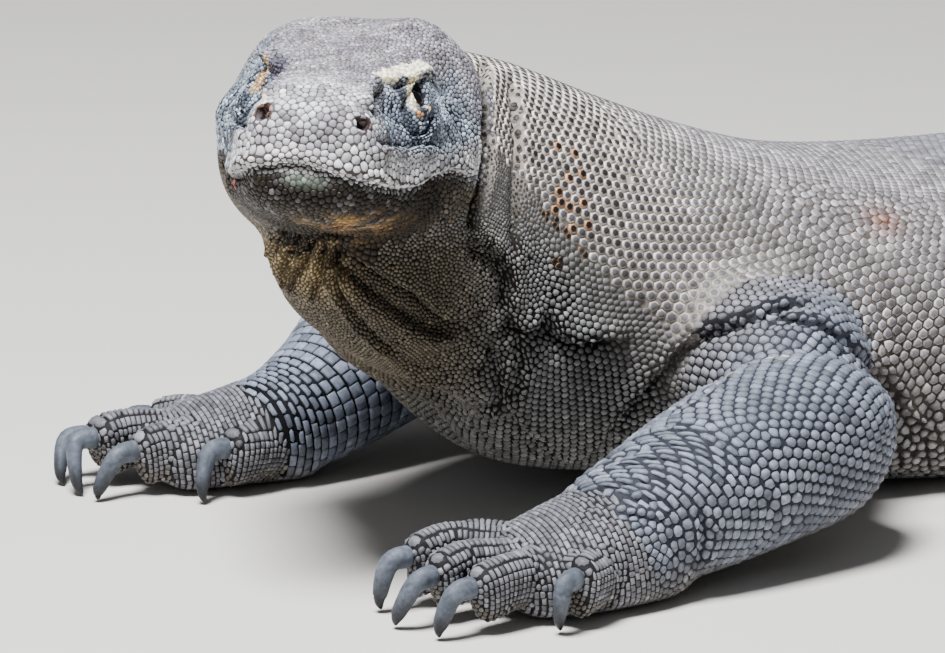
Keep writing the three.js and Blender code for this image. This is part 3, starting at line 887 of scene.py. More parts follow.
def opening(points, normal, place, long, high, depth, rim, tilt):
    """Presses in an oval, with steep walls and a raised rim."""
    which = np.flatnonzero(np.linalg.norm(points - on_head(place), axis=1) < 3 * max(long, high))
    way = unit(normal[which].mean(0))
    OVALS.append((way, place, long, high, tilt))
    r = in_oval(points[which], way, place, long, high, tilt)
    move = rim * bump((r - 1.35) / 0.35) - depth * step(1.12 - r, 0, 0.4)
    points[which] += way * move[:, None]


def in_openings(points):
    """Whether each point is inside one of the openings, where no scales grow."""
    inside = np.zeros(len(points), bool)
    for oval in OVALS:
        inside |= in_oval(points, *oval) < 0.98
    return inside


def eye_seat(points, normal, hand):
    """The middle of an eyeball, and the way it looks: it lies under the middle of the lids, along
    the mean normal of the skin there."""
    place = on_head(on_side(EYE, hand))
    near = np.argsort(np.linalg.norm(points - place, axis=1))[:60]
    way = unit(normal[near].mean(0))
    return points[near].mean(0) - way * (EYE_RADIUS + EYE_DEEP), way


def shape_openings(points, normal):
    """Two nostrils, two ears and two slits between the lids."""
    for hand in (1, -1):
        opening(points, normal, NOSTRIL[hand], *NOSTRIL_SIZE[hand])
        opening(points, normal, on_side(EAR, hand), *EAR_SIZE)
        opening(points, normal, on_side(EYE, hand), *EYE_SIZE)


# %% The skin takes its shape
FLOOR_GAP = 0.6  # no skin lies lower than this

shape_face(skin, skin_normal)
press_body_folds(skin, skin_normal)
shape_lips(skin, skin_normal)
skin_normal = normals_of(skin, quads)
eye_seats = {hand: eye_seat(skin, skin_normal, hand) for hand in (1, -1)}
shape_openings(skin, skin_normal)
skin[:, 2] = np.maximum(skin[:, 2], FLOOR_GAP)
print("skin shaped, lowest point", round(skin[:, 2].min(), 2), "mm, openings:", len(OVALS))

# %% [markdown]
# ## Which part of the body is this?
# Sizes and colours of scales change from part to part. For any point we look for the tube whose
# surface is nearest, and read where on that tube the point is: t along it, and the share of the way
# round it, from -0.5 to 0.5 with 0 on top.

# %% Reading places from points
RING = np.linspace(np.pi / 2, np.pi / 2 + 2 * np.pi, 129)  # angles round a tube, from its top


def unroll(shape):
    """A tube laid flat: distance along its middle line, girth, and how the share of the way round
    grows with the angle, each for 240 places along it."""
    t = np.linspace(0, 1, 240)
    rings = loft({**shape, "place": None}, t[:, None], RING[None, :])
    lengths = np.linalg.norm(np.diff(rings, axis=1), axis=2)
    girth = lengths.sum(1)
    share = np.pad(np.cumsum(lengths, 1), ((0, 0), (1, 0))) / np.maximum(girth, 1)[:, None]
    line = smooth(shape["line"], t)
    along = np.concatenate([[0], np.cumsum(np.linalg.norm(np.diff(line, axis=0), axis=1))])
    return {"t": t, "along": along, "girth": girth, "share": share}


FLAT = {name: unroll(shape) for name, shape in TUBES.items()}


def share_to_angle(flat, t, share):
    """The angle that lies a share of the way round at t: the table's rows are read end to end."""
    row = np.rint(t * (len(flat["t"]) - 1)).astype(int)
    keys = (flat["share"] + 2 * np.arange(len(flat["t"]))[:, None]).ravel()
    angles = np.tile(RING, len(flat["t"]))
    return np.interp(share % 1.0 + 2 * row, keys, angles)


def angle_to_share(flat, t, angle):
    """The share of the way round that an angle stands for at t."""
    row = np.rint(t * (len(flat["t"]) - 1)).astype(int)
    turn = (angle - RING[0]) % (2 * np.pi)
    place = turn / (2 * np.pi) * (len(RING) - 1)
    low = np.minimum(place.astype(int), len(RING) - 2)
    w = place - low
    share = flat["share"][row, low] * (1 - w) + flat["share"][row, low + 1] * w
    return (share + 0.5) % 1.0 - 0.5


def places_on(shape, points):
    """t and angle of points on a tube, and how far outside its surface they are. The nearest of
    many places on the middle line gives t. The distance outside is d * (1 - 1 / rho), where d is
    the distance from the line and rho the superellipse's own measure, 1 on the surface."""
    if shape["place"] is not None:
        points = out_of_place(shape["place"], points)
    t = np.linspace(0, 1, 160)
    line = smooth(shape["line"], t).astype(np.float32)
    square = (line**2).sum(1)
    nearest = (square - 2 * points.astype(np.float32) @ line.T).argmin(1)
    here = t[nearest]
    middle, side, top = middle_of(shape, here)
    size, under = section_of(shape, here)
    offset = points - middle
    y, z = (offset * side).sum(1), (offset * top).sum(1)
    half = np.where(z < 0, size[:, 2], size[:, 1]) + 1e-3
    power = np.where(z < 0, under, shape["square"])
    a, b = (np.abs(y) / (size[:, 0] + 1e-3)) ** power, (np.abs(z) / half) ** power
    rho = np.maximum((a + b) ** (1 / power), 1e-3)
    angle = np.arctan2(np.sign(z) * np.sqrt(b), np.sign(y) * np.sqrt(a))
    far = np.linalg.norm(offset, axis=1)
    return here, angle, far * (1 - 1 / rho)


# %% The nearest tube
def picked(which, *columns):
    """The same rows of several arrays."""
    return [column[which] for column in columns]


NAMES = list(TUBES)
SHOULDER = 45  # the root of a limb counts as trunk unless it is this much nearer
HEEL = 14  # and the root of a foot as lower limb
AROUND_TUBE = 30  # a tube is looked at for the points this near to it


def nearest_tube(points):
    """For each point the number of the tube whose surface is nearest, with t and share there."""
    best = np.full(len(points), np.inf)
    owner = np.zeros(len(points), int)
    t, share = np.zeros(len(points)), np.zeros(len(points))
    for number, (name, shape) in enumerate(TUBES.items()):
        some = loft(shape, np.linspace(0, 1, 30)[:, None], np.linspace(0, 6, 12)[None, :]).reshape(-1, 3)
        which = np.flatnonzero(in_box(points, some, AROUND_TUBE))
        here, angle, out = places_on(shape, points[which])
        far = np.abs(out)
        if name.endswith("upper"):
            far += SHOULDER * (1 - step(here, 0.40, 0.62))
        if name.endswith("foot"):
            far += HEEL * (1 - step(here, 0.22, 0.45))
        better = far < best[which]
        which, here, angle, far = picked(better, which, here, angle, far)
        best[which] = far
        owner[which] = number
        t[which] = here
        share[which] = angle_to_share(FLAT[name], here, angle)
    return owner, t, share


skin_places = nearest_tube(skin)
print("skin points nearest to head and spine:", np.bincount(skin_places[0])[:2].tolist())

# %% [markdown]
# ## Where each scale grows
# On trunk and limbs the scales stand in rows like bricks, each row shifted by half a scale. So the
# tube is laid flat, a lattice of bricks is drawn on it, and the lattice is rolled up again and drawn
# onto the skin. Throat and chest have a finer lattice of their own, and on the near forearm the rows
# lean. On the head the scales are irregular grains, scattered and then pushed apart. Where two
# lattices meet, scales that stand too close are thinned out, and bare places are sown.

# %% How large the scales are
HIP = 0.58  # the place along the spine where rows stop running along the body and run round the tail


def spine_pitch(t):
    """Pitch of scales along the spine: throat, neck and shoulder, trunk, and less down the tail."""
    return 6.2 + 1.3 * step(t, 0.05, 0.14) - 0.5 * step(t, 0.24, 0.32) \
        + 0.9 * step(t, 0.40, 0.48) - 4.2 * step(t, 0.62, 0.99)


def ring_pitch(name, t, share):
    """Pitch in a row, and from row to row, where rows run round: on the tail and the limbs. On top
    of the wrist and the digits a row is short from front to back and each scale in it is wide."""
    if name == "spine":
        pitch = spine_pitch(t)
        return pitch * 0.92 + 0 * share, pitch * 1.05
    top = bump(share / 0.22)
    if name.endswith("upper"):
        pitch = 6.2 + 1.3 * step(t, 0.4, 0.9)
        return pitch + 0 * share, 0.80 * pitch
    if name == "front_right_lower":
        wrist = step(t, 0.66, 0.84)
        return 9.4 + 3.0 * top * wrist, 8.6 - 3.8 * wrist
    if name.endswith("lower"):
        wrist = step(t, 0.50, 0.66)
        return 7.8 + 5.0 * bump((share - 0.02) / 0.2) * wrist - 1.8 * wrist, 6.4 - 1.6 * wrist
    if name.endswith("foot"):
        return 4.2 + 5.0 * bump(share / 0.2) + 0 * t, 3.3 + 0 * t
    return 3.8 + 10.0 * bump(share / 0.12), 3.5 + 0 * t


def distance_to(points, line):
    """How far each point is from a smooth line."""
    path = smooth(np.array(line, float), np.linspace(0, 1, 8 * len(line)))
    return np.sqrt(((points[:, None] - path[None]) ** 2).sum(2).min(1))


FAR_OFF = 99.0


def distance_within(reach, points, line):
    """distance_to for the points in the box of a line and reach round it, FAR_OFF for the others."""
    gap = np.full(len(points), FAR_OFF)
    near = in_box(points, line, reach)
    gap[near] = distance_to(points[near], line)
    return gap


BROW = [[74, 30, 54], [88, 36, 57], [104, 42, 60], [118, 49, 60], [130, 54, 60]]


def head_pitch(places):
    """Pitch of the grains on the head, by head place: finest round the eye, largest on the lips and
    between the nostrils."""
    back, left, high = places.T
    side = np.abs(left)
    pitch = 3.1 + 0.9 * step(back, 150, 215)
    pitch += 1.9 * step(-back, -38, -14) * step(high, -4, 10)
    lips = np.array(LIPS[1])
    mouth = np.interp(back, lips[:, 0], lips[:, 2])
    pitch += 2.9 * bump((high - mouth - 7) / 6.5) * step(side, 12, 26) * (1 - step(back, 120, 160))
    pitch += 1.4 * bump((high - mouth + 14) / 9) * (1 - step(back, 130, 170))
    pitch += 1.2 * step(-high, 30, 60)
    pitch += 1.5 * bump(distance_to(np.stack([back, side, high], 1), BROW) / 6)
    eye = np.sqrt((back - 104) ** 2 + (high - 46) ** 2)
    pitch -= 0.6 * bump(eye / 30) * step(side, 20, 40)
    return np.maximum(pitch, 2.5)


# %% Rows along the body
# Rows of the trunk arch up over the shoulder: by which share of the girth, where, and how far along.
ARCH, ARCH_AT, ARCH_LONG = 0.035, 0.245, 0.055
ROW_SHARE = 0.84  # from row to row, for the pitch in a row


def fine_share(t):
    """How large the scales of throat and chest are, as a share of those of the neck."""
    return 0.44 + 0.20 * step(t, 0.08, 0.13)


def is_fine(t, share):
    """Throat and chest: below a line that runs back and down from the jaw."""
    return (np.abs(share) > 0.17 + 0.9 * np.maximum(t - 0.06, 0)) & (t < 0.27)


def rows_along(name, scale=np.ones_like):
    """Bricks on a flat tube, in rows along it. Counted in pitches along and across, the lattice is
    the same everywhere, so rows follow the slow changes of size and girth."""
    flat = FLAT[name]
    pitch = scale(flat["t"]) * spine_pitch(flat["t"])
    steps = np.diff(flat["along"]) / ((pitch[1:] + pitch[:-1]) / 2)
    long = np.concatenate([[0], np.cumsum(steps)])
    half = int((flat["girth"] / pitch).max() / 2 / ROW_SHARE) + 1
    i, j = np.meshgrid(np.arange(-half, half + 1), np.arange(long[-1]), indexing="ij")
    i, j = i.ravel(), j.ravel()
    t = np.interp(j + 0.5 * (i % 2), long, flat["t"])
    pitch = scale(t) * spine_pitch(t)
    share = i * ROW_SHARE * pitch / np.maximum(np.interp(t, flat["t"], flat["girth"]), 1)
    side = np.abs(share)
    arch = ARCH * bump((t - ARCH_AT) / ARCH_LONG)
    share -= np.sign(share) * arch * step(side, 0.08, 0.2) * (1 - step(side, 0.3, 0.42))
    return picked(np.abs(share) < 0.5, t, share, pitch, ROW_SHARE * pitch)


# %% Rows round the tail and the limbs
# Rows of the near forearm lean: going round, they also run towards the elbow. The place along the
# limb is shifted by lean * sin(2 pi share) / (2 pi).
LEAN = {"front_left_lower": 0.55}
READ = 101  # places round a tube at which scales are counted


def lean_of(name, t):
    """Rows lean more towards the wrist."""
    return LEAN.get(name, 0) * (1 + 0.9 * step(t, 0.50, 0.70))


def row_slope(name, t, share):
    """How far a row runs along the limb for each millimetre round it."""
    flat = FLAT[name]
    return lean_of(name, t) * flat["along"][-1] / flat["girth"].max() * np.cos(2 * np.pi * share)


def rows_round(name, start=0.0):
    """Bricks on a flat tube, in rows round it. Row distances add up along the tube to whole numbers
    of rows. In a row, the number of scales up to a place is the sum of girth / pitch up to it."""
    flat = FLAT[name]
    t = flat["t"]
    gap = ring_pitch(name, t, np.zeros_like(t))[1]
    count = np.concatenate([[0], np.cumsum(np.diff(flat["along"]) / ((gap[1:] + gap[:-1]) / 2))])
    t = np.interp(np.arange(0.5, count[-1]), count, t)
    t = t[t > start]
    share = np.linspace(-0.5, 0.5, READ)
    girth = np.interp(t, flat["t"], flat["girth"])
    pitch = ring_pitch(name, t[:, None], share[None, :])[0] + 0 * t[:, None]
    number = np.cumsum(girth[:, None] / pitch, 1) / (READ - 1)
    number -= number[:, READ // 2, None]
    widest = int(number.max()) + 2
    span = 4.0 * widest
    row, j = np.meshgrid(np.arange(len(t)), np.arange(-widest, widest + 1), indexing="ij")
    wanted = j + (0 if "digit" in name else 0.5) * (row % 2)
    low, high = number[row, 0], number[row, -1]
    inside = (wanted > low) & (wanted < high)
    row, wanted = row[inside], wanted[inside]
    keys = (number + span * np.arange(len(t))[:, None]).ravel()
    found = np.interp(wanted + span * row, keys, np.tile(share, len(t)))
    here = t[row] + lean_of(name, t[row]) * np.sin(2 * np.pi * found) / (2 * np.pi)
    here, found = picked((here > 0) & (here < 1), here, found)
    pitch, gap = ring_pitch(name, here, found)
    longer = np.hypot(1, row_slope(name, here, found))
    return here, found, pitch * longer, gap / longer


# %% Points on the skin, and which of them are near
def drawn_onto(target, points, offset=None):
    """Points moved to the nearest place of a mesh object, or held offset above it, by Blender's
    Shrinkwrap modifier."""
    loose = mesh_object("loose points", points, np.zeros((0, 3), int))
    wrap = loose.modifiers.new("wrap", "SHRINKWRAP")
    wrap.target = target
    if offset is not None:
        wrap.wrap_mode = "ABOVE_SURFACE"
        wrap.offset = offset * MM
    mesh = with_modifiers(loose)
    moved = points_of(mesh)
    bpy.data.objects.remove(loose)
    bpy.data.meshes.remove(mesh)
    return moved


def pairs_within(points, reach, others=None):
    """Every ordered pair of points closer than reach (or of a point and one of the others). Space
    is cut into cubes of that size, points are sorted by cube, and each is paired with all points of
    its own cube and the 26 round it. A cube's three numbers are packed into one, 12 bits for each."""
    alone = others is None
    others = points if alone else others

    def cube_of(places):
        """The number of the cube that each place is in."""
        cube = np.floor(places / reach).astype(np.int64) + 1000
        return (cube[:, 0] << 24) + (cube[:, 1] << 12) + cube[:, 2]

    key, other_key = cube_of(points), cube_of(others)
    order = np.argsort(other_key, kind="stable")
    ordered = other_key[order]
    first, second = [], []
    for cube in np.ndindex(3, 3, 3):
        shift = ((cube[0] - 1) << 24) + ((cube[1] - 1) << 12) + cube[2] - 1
        low = np.searchsorted(ordered, key + shift, "left")
        count = np.searchsorted(ordered, key + shift, "right") - low
        a = np.repeat(np.arange(len(points)), count)
        first_of = np.repeat(np.cumsum(count) - count, count)
        b = order[np.arange(count.sum()) - first_of + np.repeat(low, count)]
        near = ((points[a] - others[b]) ** 2).sum(1) < reach * reach
        if alone:
            near &= a != b
        first.append(a[near])
        second.append(b[near])
    return np.concatenate(first), np.concatenate(second)


def frames_at(points, owner, t, share):
    """At each root: the skin's normal, the way of its rows and the way across them. On head, neck
    and trunk rows run the body's length, elsewhere they run round."""
    normal = unit(drawn_onto(skin_piece, points, 1.0) - points)
    ahead, slope = np.zeros_like(points), np.zeros((len(points), 1))
    for number, name in enumerate(NAMES):
        which = owner == number
        shape = TUBES[name]
        _, side, top = middle_of(shape, t[which])
        way = np.cross(side, top)
        ahead[which] = way if shape["place"] is None else way @ shape["place"][:3, :3].T
        slope[which, 0] = row_slope(name, t[which], share[which])
    ahead = unit(ahead - normal * (ahead * normal).sum(1, keepdims=True))
    lengthwise = (owner == 0) | ((owner == 1) & (t < HIP))
    row = np.where(lengthwise[:, None], ahead, unit(np.cross(normal, ahead) - slope * ahead))
    return normal, row, np.cross(normal, row)


def extent(sizes, which, way):
    """How far the ground of a root should measure in a direction. With p and q the parts of the
    direction along the row and across it, it is |(p, q)| / |(p / wide, q / high)|."""
    row, across, wide, high = sizes
    p, q = (way * row[which]).sum(1), (way * across[which]).sum(1)
    return (np.hypot(p, q) + 1e-6) / (np.hypot(p / wide[which], q / high[which]) + 1e-6 / wide[which])


def thinned(points, sizes, rank, closest):
    """Which points to keep, so that no two stand closer than closest times their mean extent. The
    higher rank stays: a point stays when it outranks all rivals left, and its rivals go."""
    a, b = pairs_within(points, closest * max(sizes[2].max(), sizes[3].max()))
    apart = points[a] - points[b]
    gap = np.linalg.norm(apart, axis=1)
    rival = gap < closest * (extent(sizes, a, apart) + extent(sizes, b, apart)) / 2
    a, b = a[rival], b[rival]
    keep, left = np.zeros(len(points), bool), np.ones(len(points), bool)
    while left.any():
        strongest = np.full(len(points), -np.inf)
        live = left[a] & left[b]
        a, b = a[live], b[live]
        np.maximum.at(strongest, a, rank[b])
        chosen = left & (rank > strongest)
        keep |= chosen
        left &= ~chosen
        left[b[chosen[a]]] = False
    return keep


def in_ropes(points):
    """The loose skin under the chin, where scales are too fine to stand in rows."""
    x, y, z = points.T
    return (x < -690) & (z > 162) & (y > -172)


# %% Roots in rows
rng = np.random.default_rng(7)
TALLER = 1.15  # rows of bricks this much closer than a pitch give six nearly equal sides
STRAY = 0.05  # roots stray from the lattice by this share of a row
CLOSEST = 0.72  # two roots stand too close under this share of the ground they need
LIFT = (-12, 40)  # how far the skin of neck and trunk may lie from the spine's tube
DRAWN = 16  # roots drawn further than this onto the skin are left out
NAIL_AT, NAIL_WIDE, NAIL_LONG = 0.90, 14.0, 10.0  # the large plate over the root of each claw
NAIL_ROOM, NAIL_SIDE = 0.085, 0.17  # the room it takes, along the digit and round it
skin_piece = mesh_object("skin", skin, quads)
skin_piece.data.shade_smooth()


def with_nail_plate(table):
    """A digit's rows, with one large plate in place of the scales over the claw's root."""
    keep = (table[0] < NAIL_AT - NAIL_ROOM) | (np.abs(table[1]) > NAIL_SIDE)
    plate = (NAIL_AT, 0.0, NAIL_WIDE, NAIL_LONG)
    return [np.append(column[keep], value) for column, value in zip(table, plate)]


def lattice_roots():
    """Roots on neck, trunk, tail and limbs: each tube's lattice, drawn onto the skin. A root stays
    where it was drawn only a little way and its own tube is the nearest."""
    rows = []
    for number, name in enumerate(NAMES):
        if name == "head":
            continue
        if name == "spine":
            coarse, fine = rows_along(name), rows_along(name, fine_share)
            coarse = picked((coarse[0] < HIP) & ~is_fine(*coarse[:2]), *coarse)
            fine = picked(is_fine(*fine[:2]), *fine)
            table = [np.concatenate(three) for three in zip(coarse, fine, rows_round(name, HIP))]
        else:
            table = rows_round(name)
        if "digit" in name:
            table = with_nail_plate(table)
        t, share, pitch, gap = table
        angle = share_to_angle(FLAT[name], t, share)
        points = loft(TUBES[name], t, angle, -COAT)
        for _ in range(3 if name == "spine" else 0):
            lift = places_on(TUBES[name], drawn_onto(skin_piece, points))[2]
            points = loft(TUBES[name], t, angle, np.clip(lift, *LIFT))
        rows.append((points, np.full(len(t), number), t, share, pitch, gap))
    points, owner, t, share, pitch, gap = (np.concatenate(column) for column in zip(*rows))
    points = points + rng.normal(0, STRAY, points.shape) * gap[:, None]
    moved = drawn_onto(skin_piece, points)
    near = np.linalg.norm(moved - points, axis=1) < DRAWN
    points, owner, t, share, pitch, gap = picked(near, moved, owner, t, share, pitch, gap)
    nail, own = gap == NAIL_LONG, nearest_tube(points)[0] == owner
    rank = rng.random(len(points)) * 0.3 + own + nail
    keep = (nail | own) & ~((owner == 1) & in_ropes(points))
    points, owner, t, share, pitch, gap, rank = picked(
        keep, points, owner, t, share, pitch, gap, rank)
    _, row, across = frames_at(points, owner, t, share)
    keep = thinned(points, (row, across, pitch, gap * TALLER), rank, CLOSEST)
    return picked(keep, points, owner, t, share, pitch, gap)


# %% Sown roots
CLOSEST_SOWN = 0.80  # for two sown roots
CLOSEST_ON_LIMB = 0.82  # for a sown root and one in a row of a limb
ROPE_PITCH = 2.9
SOWN_ON_LIMB, LARGEST_SOWN = 1.03, 7.5  # for the mean size of a scale in the rows there, and at most
SOWN_TIGHT, SOWN_ROWS = 0.93, 0.87  # the ground a sown scale needs and its height, for its pitch
BIG = 10.0  # a plate wider than this needs a longer look round it
LOOK, LOOK_BIG = 9.0, 18.0


def sown_roots(lattice):
    """Roots on the head and wherever the lattices left the skin bare. Candidates are the skin's
    points and the middles of its faces and edges, in random order."""
    some = np.concatenate([skin, skin[quads].mean(1), skin[edges].mean(1)])
    owner, t, share = nearest_tube(some)
    pitch = np.empty(len(some))
    on_face = owner == 0
    pitch[on_face] = head_pitch(head_places(some[on_face]))
    spine = owner == 1
    pitch[spine] = spine_pitch(t[spine]) * np.where(is_fine(t, share), fine_share(t), 1.0)[spine]
    pitch[spine & in_ropes(some)] = ROPE_PITCH
    for number, name in enumerate(NAMES[2:], 2):
        mine = owner == number
        wide, high = ring_pitch(name, t[mine], share[mine])
        pitch[mine] = np.minimum(np.sqrt(wide * high) * SOWN_ON_LIMB, LARGEST_SOWN)
    size = pitch * SOWN_TIGHT
    points, *places, wide, gap = lattice
    _, row, across = frames_at(points, *places)
    taken = np.zeros(len(some), bool)
    for group, within in ((wide <= BIG, LOOK), (wide > BIG, LOOK_BIG)):
        a, b = pairs_within(some, within, points[group])
        b = np.flatnonzero(group)[b]
        apart = some[a] - points[b]
        reach = extent((row, across, wide, gap * TALLER), b, apart)
        closest = np.where(owner[a] > 1, CLOSEST_ON_LIMB, CLOSEST)
        taken[a[np.linalg.norm(apart, axis=1) < closest * (size[a] + reach) / 2]] = True
    some, owner, t, share, pitch, size = picked(~taken, some, owner, t, share, pitch, size)
    anyway = np.tile([1.0, 0.0, 0.0], (len(some), 1))
    sizes = (anyway, anyway[:, [1, 0, 2]], size, size)
    keep = thinned(some, sizes, rng.random(len(some)), CLOSEST_SOWN)
    return picked(keep, some, owner, t, share, pitch, SOWN_ROWS * pitch)


lattice = lattice_roots()
sown = sown_roots(lattice)
print("roots in rows:", len(lattice[0]), "sown:", len(sown[0]))
roots, owner, along_t, share, pitch, row_gap = (np.concatenate(pair) for pair in zip(lattice, sown))
free = np.arange(len(roots)) >= len(lattice[0])
outside = ~in_openings(roots)
roots, owner, along_t, share, pitch, row_gap, free = picked(
    outside, roots, owner, along_t, share, pitch, row_gap, free)


# %% Pushed apart
YIELD = 0.35  # a root in a row gives way by this share of what a sown one does
ROOMY, PUSH = 1.06, 0.45  # roots push while closer than this share of their mean extent, and how hard
LONGEST_STEP = 0.3  # of the smaller size of a scale, in one round
PUSH_WITHIN = 13.0


def pushed_apart(points, sizes, free):
    """Roots closer than their mean extent push each other off, free ones most, and all are drawn
    back onto the skin after each of four rounds."""
    yielding = np.where(free, 1.0, YIELD)[:, None]
    size = np.minimum(sizes[2], sizes[3])
    for _ in range(4):
        a, b = pairs_within(points, PUSH_WITHIN)
        apart = points[a] - points[b]
        gap = np.linalg.norm(apart, axis=1)
        mean = (extent(sizes, a, apart) + extent(sizes, b, apart)) / 2
        push = np.maximum(ROOMY - gap / mean, 0) * PUSH
        parts = apart.T / np.maximum(gap, 0.1) * push * mean
        shift = np.stack([np.bincount(a, part, len(points)) for part in parts], 1)
        length = np.linalg.norm(shift, axis=1, keepdims=True)
        shift *= np.minimum(1, LONGEST_STEP * size[:, None] / np.maximum(length, 1e-6))
        points = drawn_onto(skin_piece, points + shift * yielding)
    return points


wide, high = pitch, row_gap * TALLER
_, row, across = frames_at(roots, owner, along_t, share)
settled = pushed_apart(roots, (row, across, wide, high), free)
moved = np.linalg.norm(settled - roots, axis=1)
roots = settled
print("scales:", len(roots), "pushed apart by up to", round(moved.max(), 1), "mm")

# %% [markdown]
# ## The shape of each scale
# A scale fills the ground that is nearer to its own root than to any other, less a narrow groove.
# In each of a few directions round the root, that ground ends where a plane half way to some
# neighbour cuts it. The plates over wrist and fingers are long bars with square corners instead.

# %% Outline of every scale
WIDEST, CORNER = 0.66, 0.74  # the furthest reach for its size, of a scale and of a square corner
IN_ROW = 0.55  # a neighbour less than this share of a row away is in the same row
SIGHT, SIGHT_BIG = 11.0, 32.0  # how far neighbours are looked for, round a scale and a big plate


def corner_turns(corners):
    """The directions of a scale's corners. Six start between the rows' ways, which suits bricks, and
    eight start on them, which makes wide plates square."""
    return 2 * np.pi * (np.arange(corners) + (0.5 if corners == 6 else 0.0)) / corners


def outlines(points, normal, sizes, corners, banded):
    """How far the ground of each root reaches in each direction, in units of wide along the row and
    high across it. Two neighbours share the way between them by their extents, so a neighbour at d
    that leaves the share f cuts the direction e at f * |d| ** 2 / (d . e). Banded scales keep square
    corners: a neighbour in their own row cuts straight across it, and any other along it."""
    row, across, wide, high = sizes
    a, b = pairs_within(points, SIGHT)
    plates = np.flatnonzero(wide > BIG)
    c, d = pairs_within(points[plates], SIGHT_BIG, points)
    c = plates[c]
    small, other = wide[a] <= BIG, c != d
    a, b = np.concatenate([a[small], c[other]]), np.concatenate([b[small], d[other]])
    facing = (normal[a] * normal[b]).sum(1) > 0.1
    order = np.argsort(a[facing], kind="stable")
    a, b = a[facing][order], b[facing][order]
    apart = points[b] - points[a]
    x = (apart * row[a]).sum(1) / wide[a]
    y = (apart * across[a]).sum(1) / high[a]
    own, other = extent(sizes, a, apart), extent(sizes, b, apart)
    level, square = np.abs(y) < IN_ROW, banded[a]
    x, y = np.where(square & ~level, 0, x), np.where(square & level, 0, y)
    limit = (x * x + y * y) * own / (own + other)
    near = (limit < 6) & (limit > 0.01)
    a, x, y, limit = picked(near, a, x, y, limit)
    starts = np.flatnonzero(np.diff(a, prepend=-1))
    widest = np.where(banded, CORNER, WIDEST)
    reach = np.tile(widest[:, None], corners)
    for k, turn in enumerate(corner_turns(corners)):
        dot = x * np.cos(turn) + y * np.sin(turn)
        cut = np.where(dot > 1e-3, limit / np.maximum(dot, 1e-3), 9.0)
        reach[a[starts], k] = np.minimum(np.minimum.reduceat(cut, starts), widest[a[starts]])
    return reach


normal, row, across = frames_at(roots, owner, along_t, share)
print("mean size of a scale:", round(wide.mean(), 2), "by", round(high.mean(), 2), "mm")

# %% [markdown]
# ## Markings
# The animal is a weathered grey brown, bluish on the forearms, with a cream net between the dark
# scales of its neck, a cream brow, blue black wrinkles round the eye and ochre on throat and chin.
# The deep folds of the throat and the line of the mouth get painted shade, dark as where no light
# falls. Painted shade also darkens the chin, the hollow before the near eye and the whole far cheek,
# and painted light lies on the back as a bluish sheen of the sky and on the ropes under the chin.
# One function gives the colours for any place on the body, and both the skin and the scales ask it,
# so the colours meet. It gives three: the top of a scale, its rim, and the skin between scales.

# %% Clouds
def paint(colour):
    """Colours given as screen values from 0 to 255, made linear."""
    c = np.array(colour) / 255
    return np.where(c < 0.04, c / 12.92, ((c + 0.055) / 1.055) ** 2.4)


# Large odd numbers that turn the place of a grid corner into one that looks random.
SCRAMBLE, SCRAMBLE_AGAIN = np.array([73856093, 19349663, 83492791]), 1274126177


def cloud(points, size, seed=0):
    """Smooth random patches of a size, from -1 to 1: random numbers on a cubic grid, blended
    between its corners by the smooth S of 3 w^2 - 2 w^3 in each direction."""
    place = points / size + 512.3 + 17.7 * seed
    cell = np.floor(place).astype(np.int64)
    w = place - cell
    w = w * w * (3 - 2 * w)
    total = 0.0
    for corner in np.ndindex(2, 2, 2):
        share = np.prod(np.where(corner, w, 1 - w), axis=1)
        key = np.bitwise_xor.reduce((cell + corner) * SCRAMBLE, axis=1)
        key = (key ^ (key >> 13)) * SCRAMBLE_AGAIN & 0x7FFFFFFF
        total = total + share * ((key >> 8 & 0xFFFF) / 32767.5 - 1)
    return total


